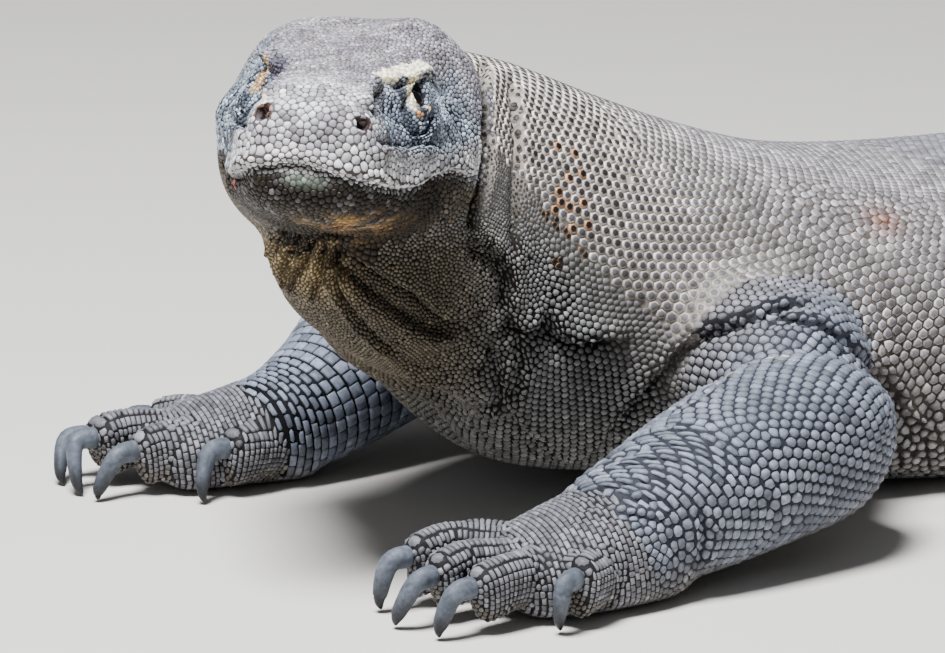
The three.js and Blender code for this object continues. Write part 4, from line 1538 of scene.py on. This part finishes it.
# %% Paints
# Each coat of paint: top of the scale, rim, and ground.
PAINTS = {name: paint(three) for name, three in {
    "trunk": [(123, 119, 121), (88, 82, 78), (24, 22, 20)],
    # the back's own grey, with a painted bluish sheen of the sky on top
    "back": [(134, 134, 142), (112, 109, 109), (50, 48, 47)],
    "neck": [(50, 47, 50), (206, 199, 190), (158, 149, 139)],
    "shoulder": [(102, 99, 103), (172, 167, 165), (84, 78, 76)],
    "chest": [(112, 112, 112), (66, 64, 63), (16, 15, 14)],
    "throat": [(92, 84, 70), (56, 47, 34), (16, 13, 9)],
    "ochre": [(156, 122, 70), (132, 98, 50), (84, 60, 30)],
    "forearm": [(109, 114, 125), (78, 83, 94), (40, 42, 50)],
    "far forearm": [(110, 117, 131), (58, 63, 74), (10, 11, 14)],
    "under limb": [(92, 86, 78), (68, 62, 54), (26, 22, 18)],
    "hand": [(107, 107, 112), (60, 58, 62), (26, 25, 27)],
    "crown": [(142, 140, 146), (108, 104, 108), (64, 60, 63)],
    "snout": [(188, 189, 195), (140, 137, 141), (84, 80, 83)],
    # the near eye's own blue black, also laid as painted shade before that eye and over the far cheek
    "eye wrinkles and shade": [(112, 121, 134), (58, 64, 75), (26, 29, 35)],
    "streak": [(48, 54, 63), (32, 36, 43), (15, 17, 21)],
    "pale streak": [(176, 188, 200), (110, 120, 132), (40, 46, 54)],
    "purple": [(74, 66, 82), (50, 44, 56), (24, 21, 28)],
    "mottle": [(118, 110, 114), (84, 76, 80), (48, 42, 44)],
    "lip": [(200, 200, 203), (146, 142, 142), (70, 64, 62)],
    # the chin's own dark brown, darkened further as painted shade under the jaw
    "chin": [(32, 26, 18), (18, 14, 9), (10, 7, 4)],
    "gum": [(112, 122, 112), (104, 114, 104), (72, 78, 70)],
    "pink": [(206, 112, 112), (196, 98, 102), (170, 76, 80)],
    "cream": [(255, 250, 230), (240, 228, 190), (176, 156, 112)],
    "tan": [(196, 166, 126), (170, 136, 98), (110, 84, 56)],
    # the ropes' own tan, made lighter as painted light on the ropes, which hang in the jaw's shade
    "rope": [(164, 146, 110), (116, 97, 67), (86, 72, 49)],
    # painted shade, laid in the line between the lips and inside the deep folds of the throat
    "mouth": [(30, 24, 22), (18, 14, 13), (10, 8, 7)],
    "black": [(22, 20, 22), (196, 146, 104), (160, 112, 76)],
    "rust": [(112, 68, 52), (150, 100, 76), (96, 58, 44)],
    "nostril": [(92, 58, 38), (52, 30, 18), (34, 18, 11)],
}.items()}
print("paints:", len(PAINTS))

# %% Markings of the body
# Scales that are black with an orange edge, over the shoulder: their middles.
BLACK_SCALES = [
    [-539, -153, 251], [-528, -152, 246], [-524, -157, 234], [-536, -161, 232], [-545, -164, 227],
    [-552, -168, 219], [-543, -167, 218], [-531, -165, 216], [-558, -170, 214], [-551, -170, 207],
    [-541, -170, 202], [-525, -168, 201], [-530, -171, 188], [-552, -173, 183],
]
RUST_AT, RUST_WIDE = [-303, -150, 178], 13  # a patch on the flank
ARM_BEND = [[-476, -259, 119], [-462, -248, 120], [-448, -251, 124], [-436, -258, 129]]
# painted shade: the folds from the jaw to the pouch of the throat are darkened inside
SHADED_THROAT_FOLDS = BODY_FOLDS[:9]  # those from the jaw to the pouch of the throat are dark inside


def band(places, line, width, ragged):
    """1 in a band along a line and 0 outside it. ragged moves its edge, in shares of its width."""
    return 1 - step(distance_within(30, places, line) + width * ragged, 0.75 * width, 1.15 * width)


def body_paints(points, owner, t, share):
    """Back, shoulder, neck, chest, throat and ropes. Like all the functions of paints, it gives one
    paint after another: its name, and how much of the colours below it covers at each point."""
    under, spine = np.abs(share), owner <= 1
    wide_cloud, small_cloud = cloud(points, 60), cloud(points, 14, 3)
    # the back's own grey, made lighter and bluer on top as a painted sheen of the sky
    yield "back", spine * (1 - step(under, 0.10, 0.26))
    shoulder = spine * (1 - step(t, 0.25, 0.38)) * (1 - step(under, 0.20, 0.32))
    yield "shoulder", shoulder * (0.75 + 0.5 * small_cloud)
    neck = 1 - step(t, 0.12, 0.22) - 0.25 * small_cloud
    yield "neck", spine * neck * (1 - step(under, 0.30, 0.40))
    low = np.interp(t, [0.10, 0.20, 0.28, 0.34], [0.17, 0.24, 0.30, 0.40])
    yield "chest", spine * step(under + 0.03 * wide_cloud, low, low + 0.11)
    x, y, z = points.T
    near_throat = (1 - step(x, -640, -560)) * (1 - step(z, 190, 240)) * (1 - step(-z, -70, 10))
    yield "throat", spine * near_throat
    # the ropes' own tan, made lighter as painted light where the jaw shades them
    hanging = (owner == 1) * (1 - step(x, -702, -680)) * step(z, 155, 195)
    yield "rope", hanging * (0.8 + 0.4 * small_cloud)


def limb_paints(points, owner, t, share):
    """Arms and legs: bluer on the far forearm, darker on hands and feet and underneath."""
    wide_cloud = cloud(points, 60)
    for number, name in enumerate(NAMES[2:], 2):
        mine = owner == number
        arm = "far forearm" if name.startswith("front_right") else "forearm"
        reached = step(t, 0.35, 0.9) if name.endswith("upper") else 1.0
        yield arm if name.endswith(("upper", "lower")) else "hand", mine * reached
        yield "under limb", 0.8 * mine * step(np.abs(share) + 0.08 * wide_cloud, 0.3, 0.42)


def fold_shade_paints(points, owner):
    """Painted shade inside the folds of the throat and in the grooves between the ropes under the chin."""
    for line, *_ in ROPES:
        yield "mouth", (owner <= 1) * bump(distance_within(9, points, line) / 1.9)
    for line, *_ in SHADED_THROAT_FOLDS:
        yield "mouth", 0.7 * (owner <= 1) * bump(distance_within(9, points, line) / 3.0)


def patch_paints(points):
    """The patches that stand alone: a rust red one on the flank and a pale one at the arm's bend."""
    small_cloud = cloud(points, 14, 3)
    rust = bump(np.linalg.norm(points - RUST_AT, axis=1) / RUST_WIDE)
    yield "rust", rust * (0.75 + 0.5 * small_cloud)
    ragged = 0.2 * small_cloud + 0.35 * cloud(points, 6, 12)
    yield "cream", 0.35 * band(points, ARM_BEND, 5.0, ragged)


# %% Markings of the head
# Places are (back, left, high). Cream spots: place and width.
CREAM_SPOTS = [((76, 30, 54), 5.5), ((84, 34, 56), 6.5), ((95, 39, 58), 7), ((106, 43, 60), 7.5),
               ((117, 48, 61), 7), ((126, 52, 59), 4.5)]
LID = [[102, 50, 56], [94, 48, 51], [88, 49, 46], [84, 51, 40]]
# Strokes of the near side and of the far side: paint, line, width, strength.
NEAR_STROKES = [
    *(("cream", [spot, np.add(spot, 1)], width, 1) for spot, width in CREAM_SPOTS),
    ("cream", LID, 4.4, 1),
    ("cream", [[97, 57, 37], [99, 58, 36]], 1.8, 1),
    ("ochre", [[83, 54, 34], [85, 55, 33]], 2.4, 1),
]
FAR_STROKES = [
    ("purple", [[58, 33, 49], [74, 36, 51], [90, 38, 54]], 8, 0.85),
    ("tan", LID, 5, 1),
    ("pink", [[101, 61, -24], [106, 62, -24]], 4, 1),
    ("cream", [[20, 33, 34], [24, 33, 35]], 4, 0.8),
]
EYE_FRONT = 96  # streaks run upright before this place and level behind it


def wrinkle_and_shade_paints(here, face, small_cloud):
    """Blue black wrinkles round the near eye, spread wider and darker as painted shade of the hollow
    before it, and the same paint as painted shade over the whole far cheek, with streaks in them.
    """
    back, left, high = here.T
    eye = np.hypot((back - 93) / 80, (high - 33 + 5 * small_cloud) / 31)
    # the near eye's own blue black, spread wider as painted shade of the hollow before the eye
    around_eye = face * (1 - step(eye + 0.15 * cloud(here, 7, 17), 0.4, 1.15)) * step(np.abs(left), 27, 38)
    # painted shade: the whole far cheek, turned away from the light, is darkened
    far_cheek_shade = face * step(-left, 50, 64) * step(high, -14, 2) * (1 - step(back, 150, 185))
    around_eye = np.maximum(around_eye, far_cheek_shade)
    yield "eye wrinkles and shade", around_eye
    # more painted shade over the far cheek, in the dark streak colour
    yield "streak", 0.55 * far_cheek_shade
    upright, level = cloud(here * [3.5, 1, 1], 12, 4), cloud(here * [1, 1, 3.5], 12, 8)
    streak = np.where(back < EYE_FRONT, upright, level)
    yield "streak", around_eye * step(streak, 0.05, 0.35) * np.where(back < EYE_FRONT, 0.9, 0.55)
    pale = 0.9 * step(-streak, 0.05, 0.35) + 0.3 * step(back, 100, 120)
    yield "pale streak", around_eye * pale


def jaw_paints(here, head, face, mouth, ragged):
    """Below the mouth's line: a dark chin with pale flecks, its own dark brown darkened further by
    painted shade under the jaw, gum near the snout, painted shade in the line of the mouth, throat and
    ochre.
    """
    back, left, high = here.T
    jaw = head * (1 - step(high, mouth - 4, mouth))
    # the chin's own dark brown, darkened further as painted shade under the jaw
    yield "chin", jaw * (1 - step(back, 120, 170))
    yield "lip", 0.12 * jaw * (1 - step(back, 60, 90)) * step(cloud(here, 5, 13), 0.2, 0.5)
    front = (1 - step(back, 12, 26)) * step(left, -14, -4) * step(-left, -18, -8)
    yield "gum", face * bump((high - mouth + 5) / 3.5) * front
    # painted shade in the line between the lips
    for hand, line in LIPS.items():
        yield "mouth", face * (left * hand >= 0) * bump(distance_within(9, here, line) / 1.7)
    yield "throat", head * (1 - step(high, mouth - 8, mouth - 2)) * step(back, 110, 165)
    patch = bump((back - 62) / 34) * bump((left - 26) / 26) * step(-high, 22, 36)
    yield "ochre", head * patch * (0.6 + 1.2 * ragged)


def head_paints(points, owner):
    """Crown, snout, lips, mottling, wrinkles and jaw."""
    here = head_places(points)
    back, left, high = here.T
    head = (owner == 0) * 1.0
    face = head * (1 - step(back, 185, 220))
    mouth = np.interp(back, np.array(LIPS[1])[:, 0], np.array(LIPS[1])[:, 2])
    yield "crown", face * step(high, -10, 30)
    yield "snout", face * (1 - step(back, 22, 62)) * step(high, -10, 6)
    lip = step(high, mouth - 4, mouth + 2) * (1 - step(high, mouth + 16, mouth + 28))
    yield "lip", face * lip
    skin_side = face * step(high, -6, 12)
    yield "mottle", skin_side * np.clip(1.3 * cloud(here, 8, 6) - 0.1, 0, 0.7)
    yield "purple", skin_side * np.clip(0.8 * cloud(here, 15, 21) - 0.1, 0, 0.35)
    yield from wrinkle_and_shade_paints(here, face, cloud(points, 14, 3))
    yield from jaw_paints(here, head, face, mouth, cloud(points, 6, 12))


def stroke_paints(points):
    """Cream, ochre, tan and pink strokes round the eyes, and the nostrils."""
    here = head_places(points)
    ragged = 0.2 * cloud(points, 14, 3) + 0.35 * cloud(points, 6, 12)
    for hand, strokes in ((1, NEAR_STROKES), (-1, FAR_STROKES)):
        for name, line, width, strength in strokes:
            yield name, strength * band(on_side(here, hand), line, width, ragged)
    for hole in NOSTRIL.values():
        spot = [hole, np.add(hole, 1)]
        yield "snout", band(here, spot, 10.0, ragged)
        yield "nostril", band(here, spot, 5.5, ragged)


# %% Every place painted
def lay(colours, paints):
    """Lays paints over colours. Each covers what is below it by a weight from 0 to 1."""
    for name, weight in paints:
        weight = np.clip(weight, 0, 1)[:, None, None]
        colours[:] = colours * (1 - weight) + PAINTS[name] * weight


def markings(points, owner, t, share):
    """Top, rim and ground colours for each point, laid on one after another."""
    colours = np.tile(PAINTS["trunk"], (len(points), 1, 1))
    lay(colours, body_paints(points, owner, t, share))
    lay(colours, limb_paints(points, owner, t, share))
    lay(colours, head_paints(points, owner))
    lay(colours, fold_shade_paints(points, owner))
    lay(colours, stroke_paints(points))
    return colours


skin_colours = markings(skin, *skin_places)
scale_colours = markings(roots, owner, along_t, share)
gap = np.sqrt(((roots[:, None] - np.array(BLACK_SCALES, float)) ** 2).sum(2).min(1))
lay(scale_colours, [("black", 1 - step(gap, 3.6, 4.4))])  # only the scales are black, not the ground
lay(skin_colours, patch_paints(skin))
lay(scale_colours, patch_paints(roots))
print("places painted on the skin:", len(skin_colours), "on the scales:", len(scale_colours))

# %% [markdown]
# ## Domes
# Each scale is a ring a little below the skin, one or two rings above it, and a top. Trunk, tail and
# legs have low domes, the head has fuller grains, and the near forearm has a small boss on each dome.
# The far forearm has flat plates. On the neck the pale rim climbs half way up, which draws the net.
# Many scales go into one piece, and each piece carries a map of where on the body its scales grow,
# so that the finished colours can be printed on it.

# %% One piece of the coat
# Each ring: its share of the outline, its share of the height, and its paint, 1 rim or 0 top.
DOME = [(0.96, -0.25, 1), (0.74, 0.70, 0)]
BOSS = [(0.96, -0.25, 1), (0.76, 0.50, 0), (0.34, 0.70, 0)]
PLATE = [(0.96, -0.25, 1), (0.86, 0.62, 0), (0.55, 0.94, 0)]
GRAIN = [(0.98, -0.25, 1), (0.78, 0.70, 0)]
NET = [(0.96, -0.25, 1), (0.80, 0.50, 1), (0.55, 0.85, 0)]
FLATTEST = 0.05  # no scale or claw reaches lower than this
PATCH = 0.0015  # half the width of one scale's patch on the map
ROW_FILL = 0.88  # how much of its row a banded scale fills, so that dark skin shows between rows
STEEP = 0.5  # the power that makes the sides of banded scales steeper
HEIGHT = 0.25  # of the mean of a scale's two sizes


def set_colour(piece, colours):
    """Writes a colour on each point of a piece, where its material reads it."""
    layer = piece.data.attributes.new("tone", "FLOAT_COLOR", "POINT")
    rgba = np.concatenate([colours, np.ones((len(colours), 1))], 1)
    layer.data.foreach_set("color", rgba.astype(np.float32).ravel())


def scale_mesh(name, which, corners, rings, place):
    """One piece of the coat. Each ring is the outline, shrunk towards the root and raised. The last
    point is the top. The map puts each scale at its root's place."""
    reach = outlines_by_corners[corners][which]
    turn = corner_turns(corners)
    root = roots[which][:, None]
    x = reach * np.cos(turn) * wide[which, None]
    y = reach * np.sin(turn) * np.where(banded, ROW_FILL * high, high)[which, None]
    base = root + x[..., None] * row[which, None] + y[..., None] * across[which, None]
    base = drawn_onto(skin_piece, base.reshape(-1, 3)).reshape(base.shape)
    tall = (normal[which] * (HEIGHT * np.sqrt(wide * high) * swell)[which, None])[:, None]
    power = np.where(banded[which], STEEP, 1.0)[:, None, None]
    layers = [root + (base - root) * shrink**power + tall * lift for shrink, lift, _ in rings]
    block = np.concatenate(layers + [root + tall], 1)
    block[..., 2] = np.maximum(block[..., 2], FLATTEST)
    paints = [use for *_, use in rings for _ in range(corners)] + [0]
    colours = np.clip(scale_colours[which][:, paints] * shades[which, None, None], 0, 1)
    k, following = np.arange(corners), (np.arange(corners) + 1) % corners
    faces = []
    for ring in range(len(rings) - 1):
        a, b = ring * corners + k, ring * corners + following
        faces += [np.stack([a, b, b + corners], 1), np.stack([a, b + corners, a + corners], 1)]
    last = (len(rings) - 1) * corners
    top = len(rings) * corners
    faces = np.concatenate(faces + [np.stack([last + k, last + following, np.full(corners, top)], 1)])
    circle = np.stack([np.cos(turn), np.sin(turn)], 1)
    around = np.vstack([shrink * circle for shrink, _, _ in rings] + [[[0, 0]]])
    spot = place[:, None] + PATCH * around[None]
    every = faces[None] + block.shape[1] * np.arange(len(which))[:, None, None]
    piece = mesh_object(name, block.reshape(-1, 3), every.reshape(-1, 3))
    uv = piece.data.uv_layers.new(name="OFBake")
    uv.data.foreach_set("uv", spot.reshape(-1, 2)[every.ravel()].astype(np.float32).ravel())
    set_colour(piece, colours.reshape(-1, 3))
    piece.data.shade_smooth()
    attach(piece, "root")
    print(name, len(which), "scales,", len(piece.data.polygons), "triangles")
    return piece


# %% Height, shade and kind of each scale
SWELL = {"nail": 0.45, "head": 0.5, "chin": 1.1, "far forearm": 0.65, "ropes": 0.3}
SHADES = {"head": 0.30, "body": 0.24}  # how much scales side by side differ in shade
CHIN_HIGH, CHIN_BACK = -16, 120  # head places lower and further forward than this are chin
WRIST, WRIST_MIDDLE, WRIST_WIDE = 0.56, 0.02, 0.22  # where along and round the arm its plates are
nail_plate = row_gap == NAIL_LONG
swell = np.where(nail_plate, SWELL["nail"], np.where(owner == 0, SWELL["head"], 1.0))
swell[owner == NAMES.index("front_right_lower")] = SWELL["far forearm"]
swell[(owner == 1) & in_ropes(roots)] = SWELL["ropes"]
back, _, head_high = head_places(roots).T
swell[(owner == 0) & (head_high < CHIN_HIGH) & (back < CHIN_BACK)] = SWELL["chin"]
shades = np.exp(rng.normal(-0.02, np.where(owner == 0, SHADES["head"], SHADES["body"])))
shades *= 1 + 0.12 * cloud(roots, 40, 5)
names = np.array(NAMES)[owner]
on_hand = np.char.endswith(names, "foot") | (np.char.count(names, "digit") > 0)
on_wrist = (along_t > WRIST) & (np.abs(share - WRIST_MIDDLE) < WRIST_WIDE)
on_arm = (names == "front_right_lower") | (names == "front_left_lower") & on_wrist
banded = ~free & (on_hand | on_arm) & ~nail_plate
sizes = row, across, wide, high
outlines_by_corners = {n: outlines(roots, normal, sizes, n, banded) for n in (6, 8)}
print("banded plates:", banded.sum(), "nail plates:", nail_plate.sum())

# %% The coat, piece by piece
# Where the body's length is cut into pieces, and the rings of their scales. Only the throat has the
# fine scales.
CUTS = [("throat", 0.0, 0.27, DOME), ("neck", 0.0, 0.20, NET), ("shoulders", 0.20, 0.30, NET),
        ("trunk", 0.30, 0.44, DOME), ("hips", 0.44, 0.60, DOME), ("tail", 0.60, 1.0, DOME)]
LIMB_RINGS = {"front_left": BOSS, "front_right": PLATE, "hind_left": DOME, "hind_right": DOME}
# The band of a limb's map that each part has: start and width. The five digits share the last fifth.
BANDS = {"upper": (0.0, 0.34), "lower": (0.34, 0.28), "foot": (0.62, 0.18)}
BANDS.update({f"digit_{number + 1}": (0.8 + 0.04 * number, 0.04) for number in range(5)})


def on_map(values):
    """Places on the map, from 0 to 1, drawn in a little from its edges."""
    return values * 0.98 + 0.01


coat = []
for cut, low, end, rings in CUTS:
    right_size = is_fine(along_t, share) == (cut == "throat")
    inside = (along_t >= low) & ((along_t < end) | (end == 1.0))
    which = np.flatnonzero((owner == 1) & inside & right_size)
    place = on_map(np.stack([(along_t[which] - low) / (end - low), share[which] + 0.5], 1))
    coat.append(scale_mesh(f"scales_{cut}", which, 6, rings, place))
which = np.flatnonzero(owner == 0)
place = on_map(np.stack([along_t[which], share[which] + 0.5], 1))
coat.append(scale_mesh("scales_head", which, 8, GRAIN, place))
for limb, rings in LIMB_RINGS.items():
    place = np.zeros((len(roots), 2))
    for part, (start, deep) in BANDS.items():
        here = names == f"{limb}_{part}"
        level = start + deep * (0.05 + 0.9 * (share[here] + 0.5))
        place[here] = np.stack([on_map(along_t[here]), level], 1)
    which = np.flatnonzero(np.char.startswith(names, limb))
    coat.append(scale_mesh(f"scales_{limb}", which, 8, rings, place[which]))
set_colour(skin_piece, skin_colours[:, 2])  # the ground between scales
print("pieces of the coat:", len(coat), "with", sum(len(piece.data.polygons) for piece in coat), "triangles")

# %% [markdown]
# ## Claws
# Each digit ends in a thick horn that bends down to the ground, higher than it is wide. It is one
# more loft, from inside the digit to a blunt point, with the same middle line as in the solid model.
# Old claws are dusty grey, darker underneath and at the point.

# %% Twenty claws
CLAW_RADII = (6.6, 5.7, 4.1, 0.9)
CLAW_DEEP = 1.15  # its height for its width
CLAW_ROOT, CLAW_REACH, CLAW_DROP = 4, 13, 2  # how far it starts inside, runs on, and sinks by then
CLAW_TIP = 1.6  # height of the middle of its point
CLAW_PAINTS = {"top": paint((82, 88, 98)), "point": paint((26, 26, 29))}


def claw_tube(digit):
    """A claw runs on from its digit, bends down and ends on the floor."""
    middle, end, tip = (np.array(place, float) for place in digit[1:])
    ahead = unit(end - middle)
    reach = end + CLAW_REACH * ahead
    reach[2] = end[2] - CLAW_DROP
    tip[2] = CLAW_TIP
    near = tip + (reach - tip) / 3 + 3 * ahead
    line = (end - CLAW_ROOT * ahead, reach, near, tip)
    rows = [[*place, r, CLAW_DEEP * r, CLAW_DEEP * r] for place, r in zip(line, CLAW_RADII)]
    return tube(rows, square=2, ends=(0.10, 0.06))


def outward(points, triangles):
    """The faces turned so that their volume, a sixth of the sum of a . (b x c), is positive."""
    a, b, c = (points[triangles[:, k]] for k in range(3))
    volume = (a * np.cross(b, c)).sum() / 6
    return triangles if volume > 0 else triangles[:, ::-1]


def finished(piece, slot, *stands_for):
    """A piece made smooth and told what it belongs to, and the solids it stands for hidden. slot is not
    used.
    """
    piece.data.shade_smooth()
    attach(piece, "root")
    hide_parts(*stands_for)
    return piece


claws = []
for limb, parts in LIMBS.items():
    for number, digit in enumerate(parts["digits"], 1):
        points, triangles = tube_mesh(claw_tube(digit), rings=16, sides=16, lift=0.0)
        points[:, 2] = np.maximum(points[:, 2], FLATTEST)
        claw = mesh_object(f"{limb}_horn_{number}", points, outward(points, triangles))
        height = step(points[:, 2], 4, 30)[:, None]
        tones = CLAW_PAINTS["point"] * (1 - height) + CLAW_PAINTS["top"] * height
        dust = 1 + 0.30 * cloud(points, 7, 9) + 0.40 * cloud(points * [1, 1, 0.3], 2.0, 10)
        set_colour(claw, np.clip(tones * dust[:, None], 0, 1))
        claws.append(finished(claw, "claw", f"{limb}_claw_{number}"))
print("claws:", len(claws), "of", len(claw.data.polygons), "triangles")

# %% [markdown]
# ## Eyes
# The eye is a ball set deep under the brow, and only a slit of it shows. It has a wide black pupil in
# a dark brown ring, under a wet clear cornea that stands out a little. Rings of points round the line
# of sight make the ball, so that the pupil's edge is a ring too.

# %% Two eyes
EYE_RINGS, EYE_SIDES = 40, 48
PUPIL, IRIS = 0.42, 0.95  # their edges, as angles from the line of sight
CORNEA, CORNEA_WIDE = 0.05, 0.7  # how far the cornea stands out, for the radius, and its angle
EYE_PAINTS = {"pupil": paint((4, 4, 5)), "ring": paint((36, 24, 16)), "white": paint((30, 26, 24))}


def eyeball(hand):
    """Rings at equal angles from the line of sight, and a point at each pole."""
    polar, turn = np.meshgrid(np.linspace(0, np.pi, EYE_RINGS + 1)[1:-1],
                              np.linspace(0, 2 * np.pi, EYE_SIDES, endpoint=False), indexing="ij")
    middle, sight = eye_seats[hand]
    side = unit(np.cross(UP, sight))
    top = np.cross(sight, side)
    polar, turn = polar.ravel(), turn.ravel()
    rings = np.cos(polar)[:, None] * sight + np.sin(polar)[:, None] * (
        np.cos(turn)[:, None] * side + np.sin(turn)[:, None] * top)
    rings = np.vstack([rings, [sight, -sight]])
    polar = np.append(polar, [0, np.pi])
    radius = EYE_RADIUS * (1 + CORNEA * bump(polar / CORNEA_WIDE))
    points = middle + rings * radius[:, None]
    iris = step(polar, PUPIL - 0.03, PUPIL + 0.03)[:, None]
    white = step(polar, IRIS - 0.05, IRIS + 0.08)[:, None]
    tones = EYE_PAINTS["pupil"] * (1 - iris) + EYE_PAINTS["ring"] * iris
    tones = tones * (1 - white) + EYE_PAINTS["white"] * white
    return points, outward(points, ring_faces(EYE_RINGS - 1, EYE_SIDES)), tones


eyes = []
for hand, name in ((1, "left"), (-1, "right")):
    points, triangles, tones = eyeball(hand)
    ball = mesh_object(f"eyeball_{name}", points, triangles)
    set_colour(ball, tones)
    eyes.append(finished(ball, "eye", f"eye_{name}"))
print("eyes:", len(eyes), "of", len(ball.data.polygons), "triangles")

# %% [markdown]
# ## Scaly skin
# Reptile scales are horn: dull, a little waxy, with fine scratches and dust in the grooves. The
# material reads the colour written on each point, breaks it up with fine noise, and dulls the noise's
# hollows. It reads the object's own coordinates, so that nothing slides when the view turns.

# %% The material of skin and scales
def noise(nodes, links, size_mm, detail):
    """A noise in object space whose blotches are about size_mm across."""
    place = nodes.new("ShaderNodeTexCoord")
    made = nodes.new("ShaderNodeTexNoise")
    made.inputs["Scale"].default_value = 1 / (size_mm * MM)
    made.inputs["Detail"].default_value = detail
    made.inputs["Roughness"].default_value = 0.6
    links.new(place.outputs["Object"], made.inputs["Vector"])
    return made.outputs["Fac"]


def ranged(nodes, links, value, low, high):
    """The middle of a noise, from 0.3 to 0.7, spread over low to high."""
    made = nodes.new("ShaderNodeMapRange")
    for socket, number in zip(("From Min", "From Max", "To Min", "To Max"), (0.3, 0.7, low, high)):
        made.inputs[socket].default_value = number
    links.new(value, made.inputs["Value"])
    return made.outputs["Result"]


def scaly(name, fine_mm, bump_height, rough, gloss):
    """A horny finish: blotches fine_mm wide, bumps bump_height mm high, and how rough and glossy."""
    made = bpy.data.materials.new(name)
    made.use_nodes = True
    nodes, links = made.node_tree.nodes, made.node_tree.links
    shader = nodes["Principled BSDF"]
    shader.inputs["Specular IOR Level"].default_value = gloss
    tone = nodes.new("ShaderNodeAttribute")
    tone.attribute_name = "tone"
    blotch = noise(nodes, links, fine_mm, 3.0)
    grain = noise(nodes, links, fine_mm / 4, 2.0)
    shade = nodes.new("ShaderNodeMix")
    shade.data_type = "RGBA"
    shade.blend_type = "MULTIPLY"
    shade.inputs["Factor"].default_value = 1.0
    links.new(tone.outputs["Color"], shade.inputs["A"])
    links.new(ranged(nodes, links, blotch, 0.72, 1.28), shade.inputs["B"])
    links.new(shade.outputs["Result"], shader.inputs["Base Color"])
    links.new(ranged(nodes, links, blotch, rough + 0.12, rough - 0.08), shader.inputs["Roughness"])
    raised = nodes.new("ShaderNodeBump")
    raised.inputs["Distance"].default_value = bump_height * MM
    raised.inputs["Strength"].default_value = 0.7
    links.new(grain, raised.inputs["Height"])
    links.new(raised.outputs["Normal"], shader.inputs["Normal"])
    return made


FINISHES = [
    (scaly("scale horn", 3.5, 0.35, 0.45, 0.22), coat),
    (scaly("bare skin", 5.0, 0.5, 0.62, 0.12), [skin_piece]),
    (scaly("claw horn", 3.0, 0.35, 0.50, 0.30), claws),
    (scaly("wet eye", 1.6, 0.0, 0.14, 0.5), eyes),
]
for finish, pieces in FINISHES:
    for piece in pieces:
        piece.data.materials.append(finish)
    print(finish.name, "on", len(pieces), "pieces")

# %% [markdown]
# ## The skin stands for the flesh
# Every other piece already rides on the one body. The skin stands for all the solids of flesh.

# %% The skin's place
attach(skin_piece, "root")
FLESH = [name for name in frame["nodes"] if "claw" not in name and "eye" not in name]
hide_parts(*FLESH)
